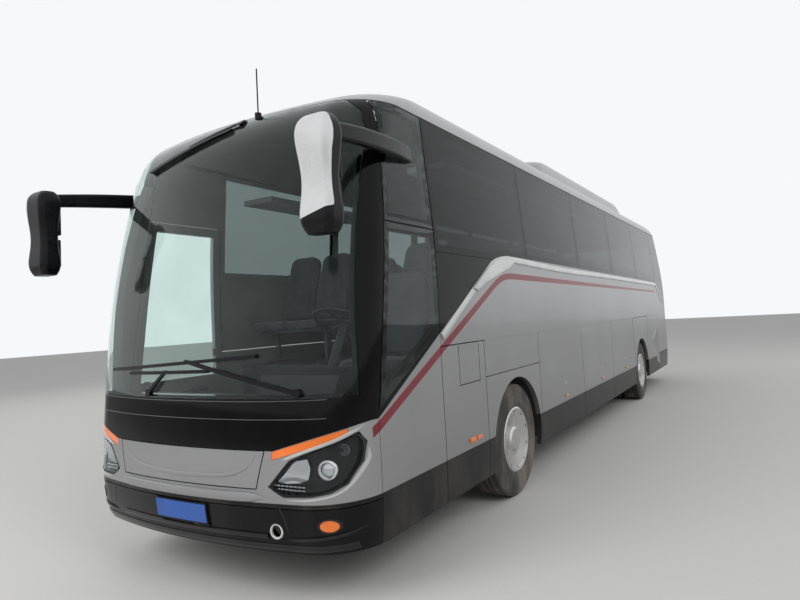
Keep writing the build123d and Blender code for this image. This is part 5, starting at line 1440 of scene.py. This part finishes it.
@dataclass
class Shot:
    """Camera at the photograph's viewpoint, given from the front axle's ground point."""

    place: Triple = (5.2597, 3.426, 1.7116)
    yaw: float = 29.599
    pitch: float = 3.025
    roll: float = -3.209
    focal_pixels: float = 592.28
    centre: Pair = (435.0, 284.9)
    picture: tuple[int, int] = (800, 600)

    def build(self) -> None:
        """Makes the camera the scene's own."""
        data = bpy.data.cameras.new("shot")
        camera = bpy.data.objects.new("shot", data)
        bpy.context.scene.collection.objects.link(camera)
        yaw, pitch, roll = (math.radians(angle) for angle in (self.yaw, self.pitch, self.roll))
        look = Vector((-math.cos(yaw) * math.cos(pitch), -math.sin(yaw) * math.cos(pitch), math.sin(pitch)))
        right = look.cross(Vector((0, 0, 1))).normalized()
        up = right.cross(look)
        rolled_right = right * math.cos(roll) + up * math.sin(roll)
        rolled_up = up * math.cos(roll) - right * math.sin(roll)
        turn = Matrix((rolled_right, rolled_up, -look)).transposed()
        camera.matrix_world = Matrix.Translation(at(*self.place)) @ turn.to_4x4()
        wide, high = self.picture
        data.sensor_width = 36.0
        data.lens = self.focal_pixels * data.sensor_width / wide
        data.shift_x = (wide / 2 - self.centre[0]) / wide
        data.shift_y = (self.centre[1] - high / 2) / wide
        data.clip_start = 0.05
        data.clip_end = 400
        bpy.context.scene.camera = camera


@dataclass
class Studio:
    """Pale floor, pale world and soft lamps."""

    floor_half: float = 60.0
    floor_colour: Triple = (0.6, 0.595, 0.585)
    back_colour: Triple = (0.93, 0.94, 0.95)
    sky: float = 0.5
    # Place, size and power of each lamp; all aim at the coach's middle
    lamps: tuple = (
        ((9.0, 14.0, 11.0), 9.0, 900.0),
        ((14.0, -3.0, 8.0), 8.0, 860.0),
        ((-9.0, 10.0, 12.0), 10.0, 380.0),
        ((0.0, -13.0, 10.0), 9.0, 300.0),
    )

    def floor(self) -> None:
        """Adds the floor."""
        mesh = bpy.data.meshes.new("floor")
        work = bmesh.new()
        bmesh.ops.create_grid(work, x_segments=1, y_segments=1, size=self.floor_half)
        work.to_mesh(mesh)
        work.free()
        floor = bpy.data.objects.new("floor", mesh)
        bpy.context.scene.collection.objects.link(floor)
        graph, shader = shaded("floor_matt")
        speck = graph.ramp(graph.noise(graph.place()[0], 60.0, 2.0), 0.3, 0.7, 0.985, 1.01)
        graph.fill(shader, Base_Color=graph.tinted(self.floor_colour, speck), Roughness=0.9)
        mesh.materials.append(bpy.data.materials["floor_matt"])

    def world(self) -> None:
        """Pale background for the camera, gloss and glass; a plain sky level for the light."""
        world = bpy.data.worlds.new("studio")
        bpy.context.scene.world = world
        world.use_nodes = True
        world.node_tree.nodes.clear()
        graph = Graph(world.node_tree)
        path = graph.add("ShaderNodeLightPath")
        direct = graph.math("MAXIMUM", path.outputs["Is Camera Ray"], path.outputs["Is Transmission Ray"])
        seen = graph.math("MAXIMUM", direct, path.outputs["Is Glossy Ray"])
        colour = rgba(*self.back_colour)
        light = graph.fill(graph.add("ShaderNodeBackground"), Color=colour, Strength=self.sky)[0]
        shown = graph.fill(graph.add("ShaderNodeBackground"), Color=colour, Strength=1.0)[0]
        mixed = graph.add("ShaderNodeMixShader")
        for number, value in enumerate((seen, light, shown)):
            graph.feed(mixed.inputs[number], value)
        graph.fill(graph.add("ShaderNodeOutputWorld"), Surface=mixed.outputs[0])

    def light(self) -> None:
        """Adds the soft lamps."""
        for number, (place, size, power) in enumerate(self.lamps):
            data = bpy.data.lights.new(f"softbox_{number}", "AREA")
            data.shape = "DISK"
            data.size = size
            data.energy = power
            lamp = bpy.data.objects.new(f"softbox_{number}", data)
            bpy.context.scene.collection.objects.link(lamp)
            lamp.location = place
            lamp.visible_glossy = False
            lamp.visible_transmission = False
            aim = Vector((0.0, 0.0, 1.5)) - Vector(place)
            lamp.rotation_mode = "QUATERNION"
            lamp.rotation_quaternion = aim.to_track_quat("-Z", "Y")

    def build(self) -> None:
        """Sets up the whole stage."""
        self.floor()
        self.world()
        self.light()
        bpy.context.scene.view_settings.view_transform = "Standard"


def main() -> None:
    """Builds the coach's looks in order."""
    logging.basicConfig(level=logging.INFO, format="%(message)s")
    Studio().build()
    Shot().build()
    for finish, nodes in NODE_FINISH.items():
        for node in nodes:
            smooth_copy(node, finish.material())
        log.info("finish %s on %d nodes", finish.name, len(nodes))
    for side in TAGS:
        for part in (BeltMoulding, Headlamp, SideDress):
            part(side).build()
    for part in (NoseTrim, NoseFittings, MirrorDress, SeatDress):
        part().build()
    for side, tag in TAGS.items():
        WheelDress(f"rim_front_{tag}", side, OUTER_TYRE).build()
        WheelDress(f"rim_rear_{tag}", side, OUTER_TYRE + INNER_TYRE).build()
    TailDress().build()
    RoofDress().build()


if __name__ == "__main__":
    main()
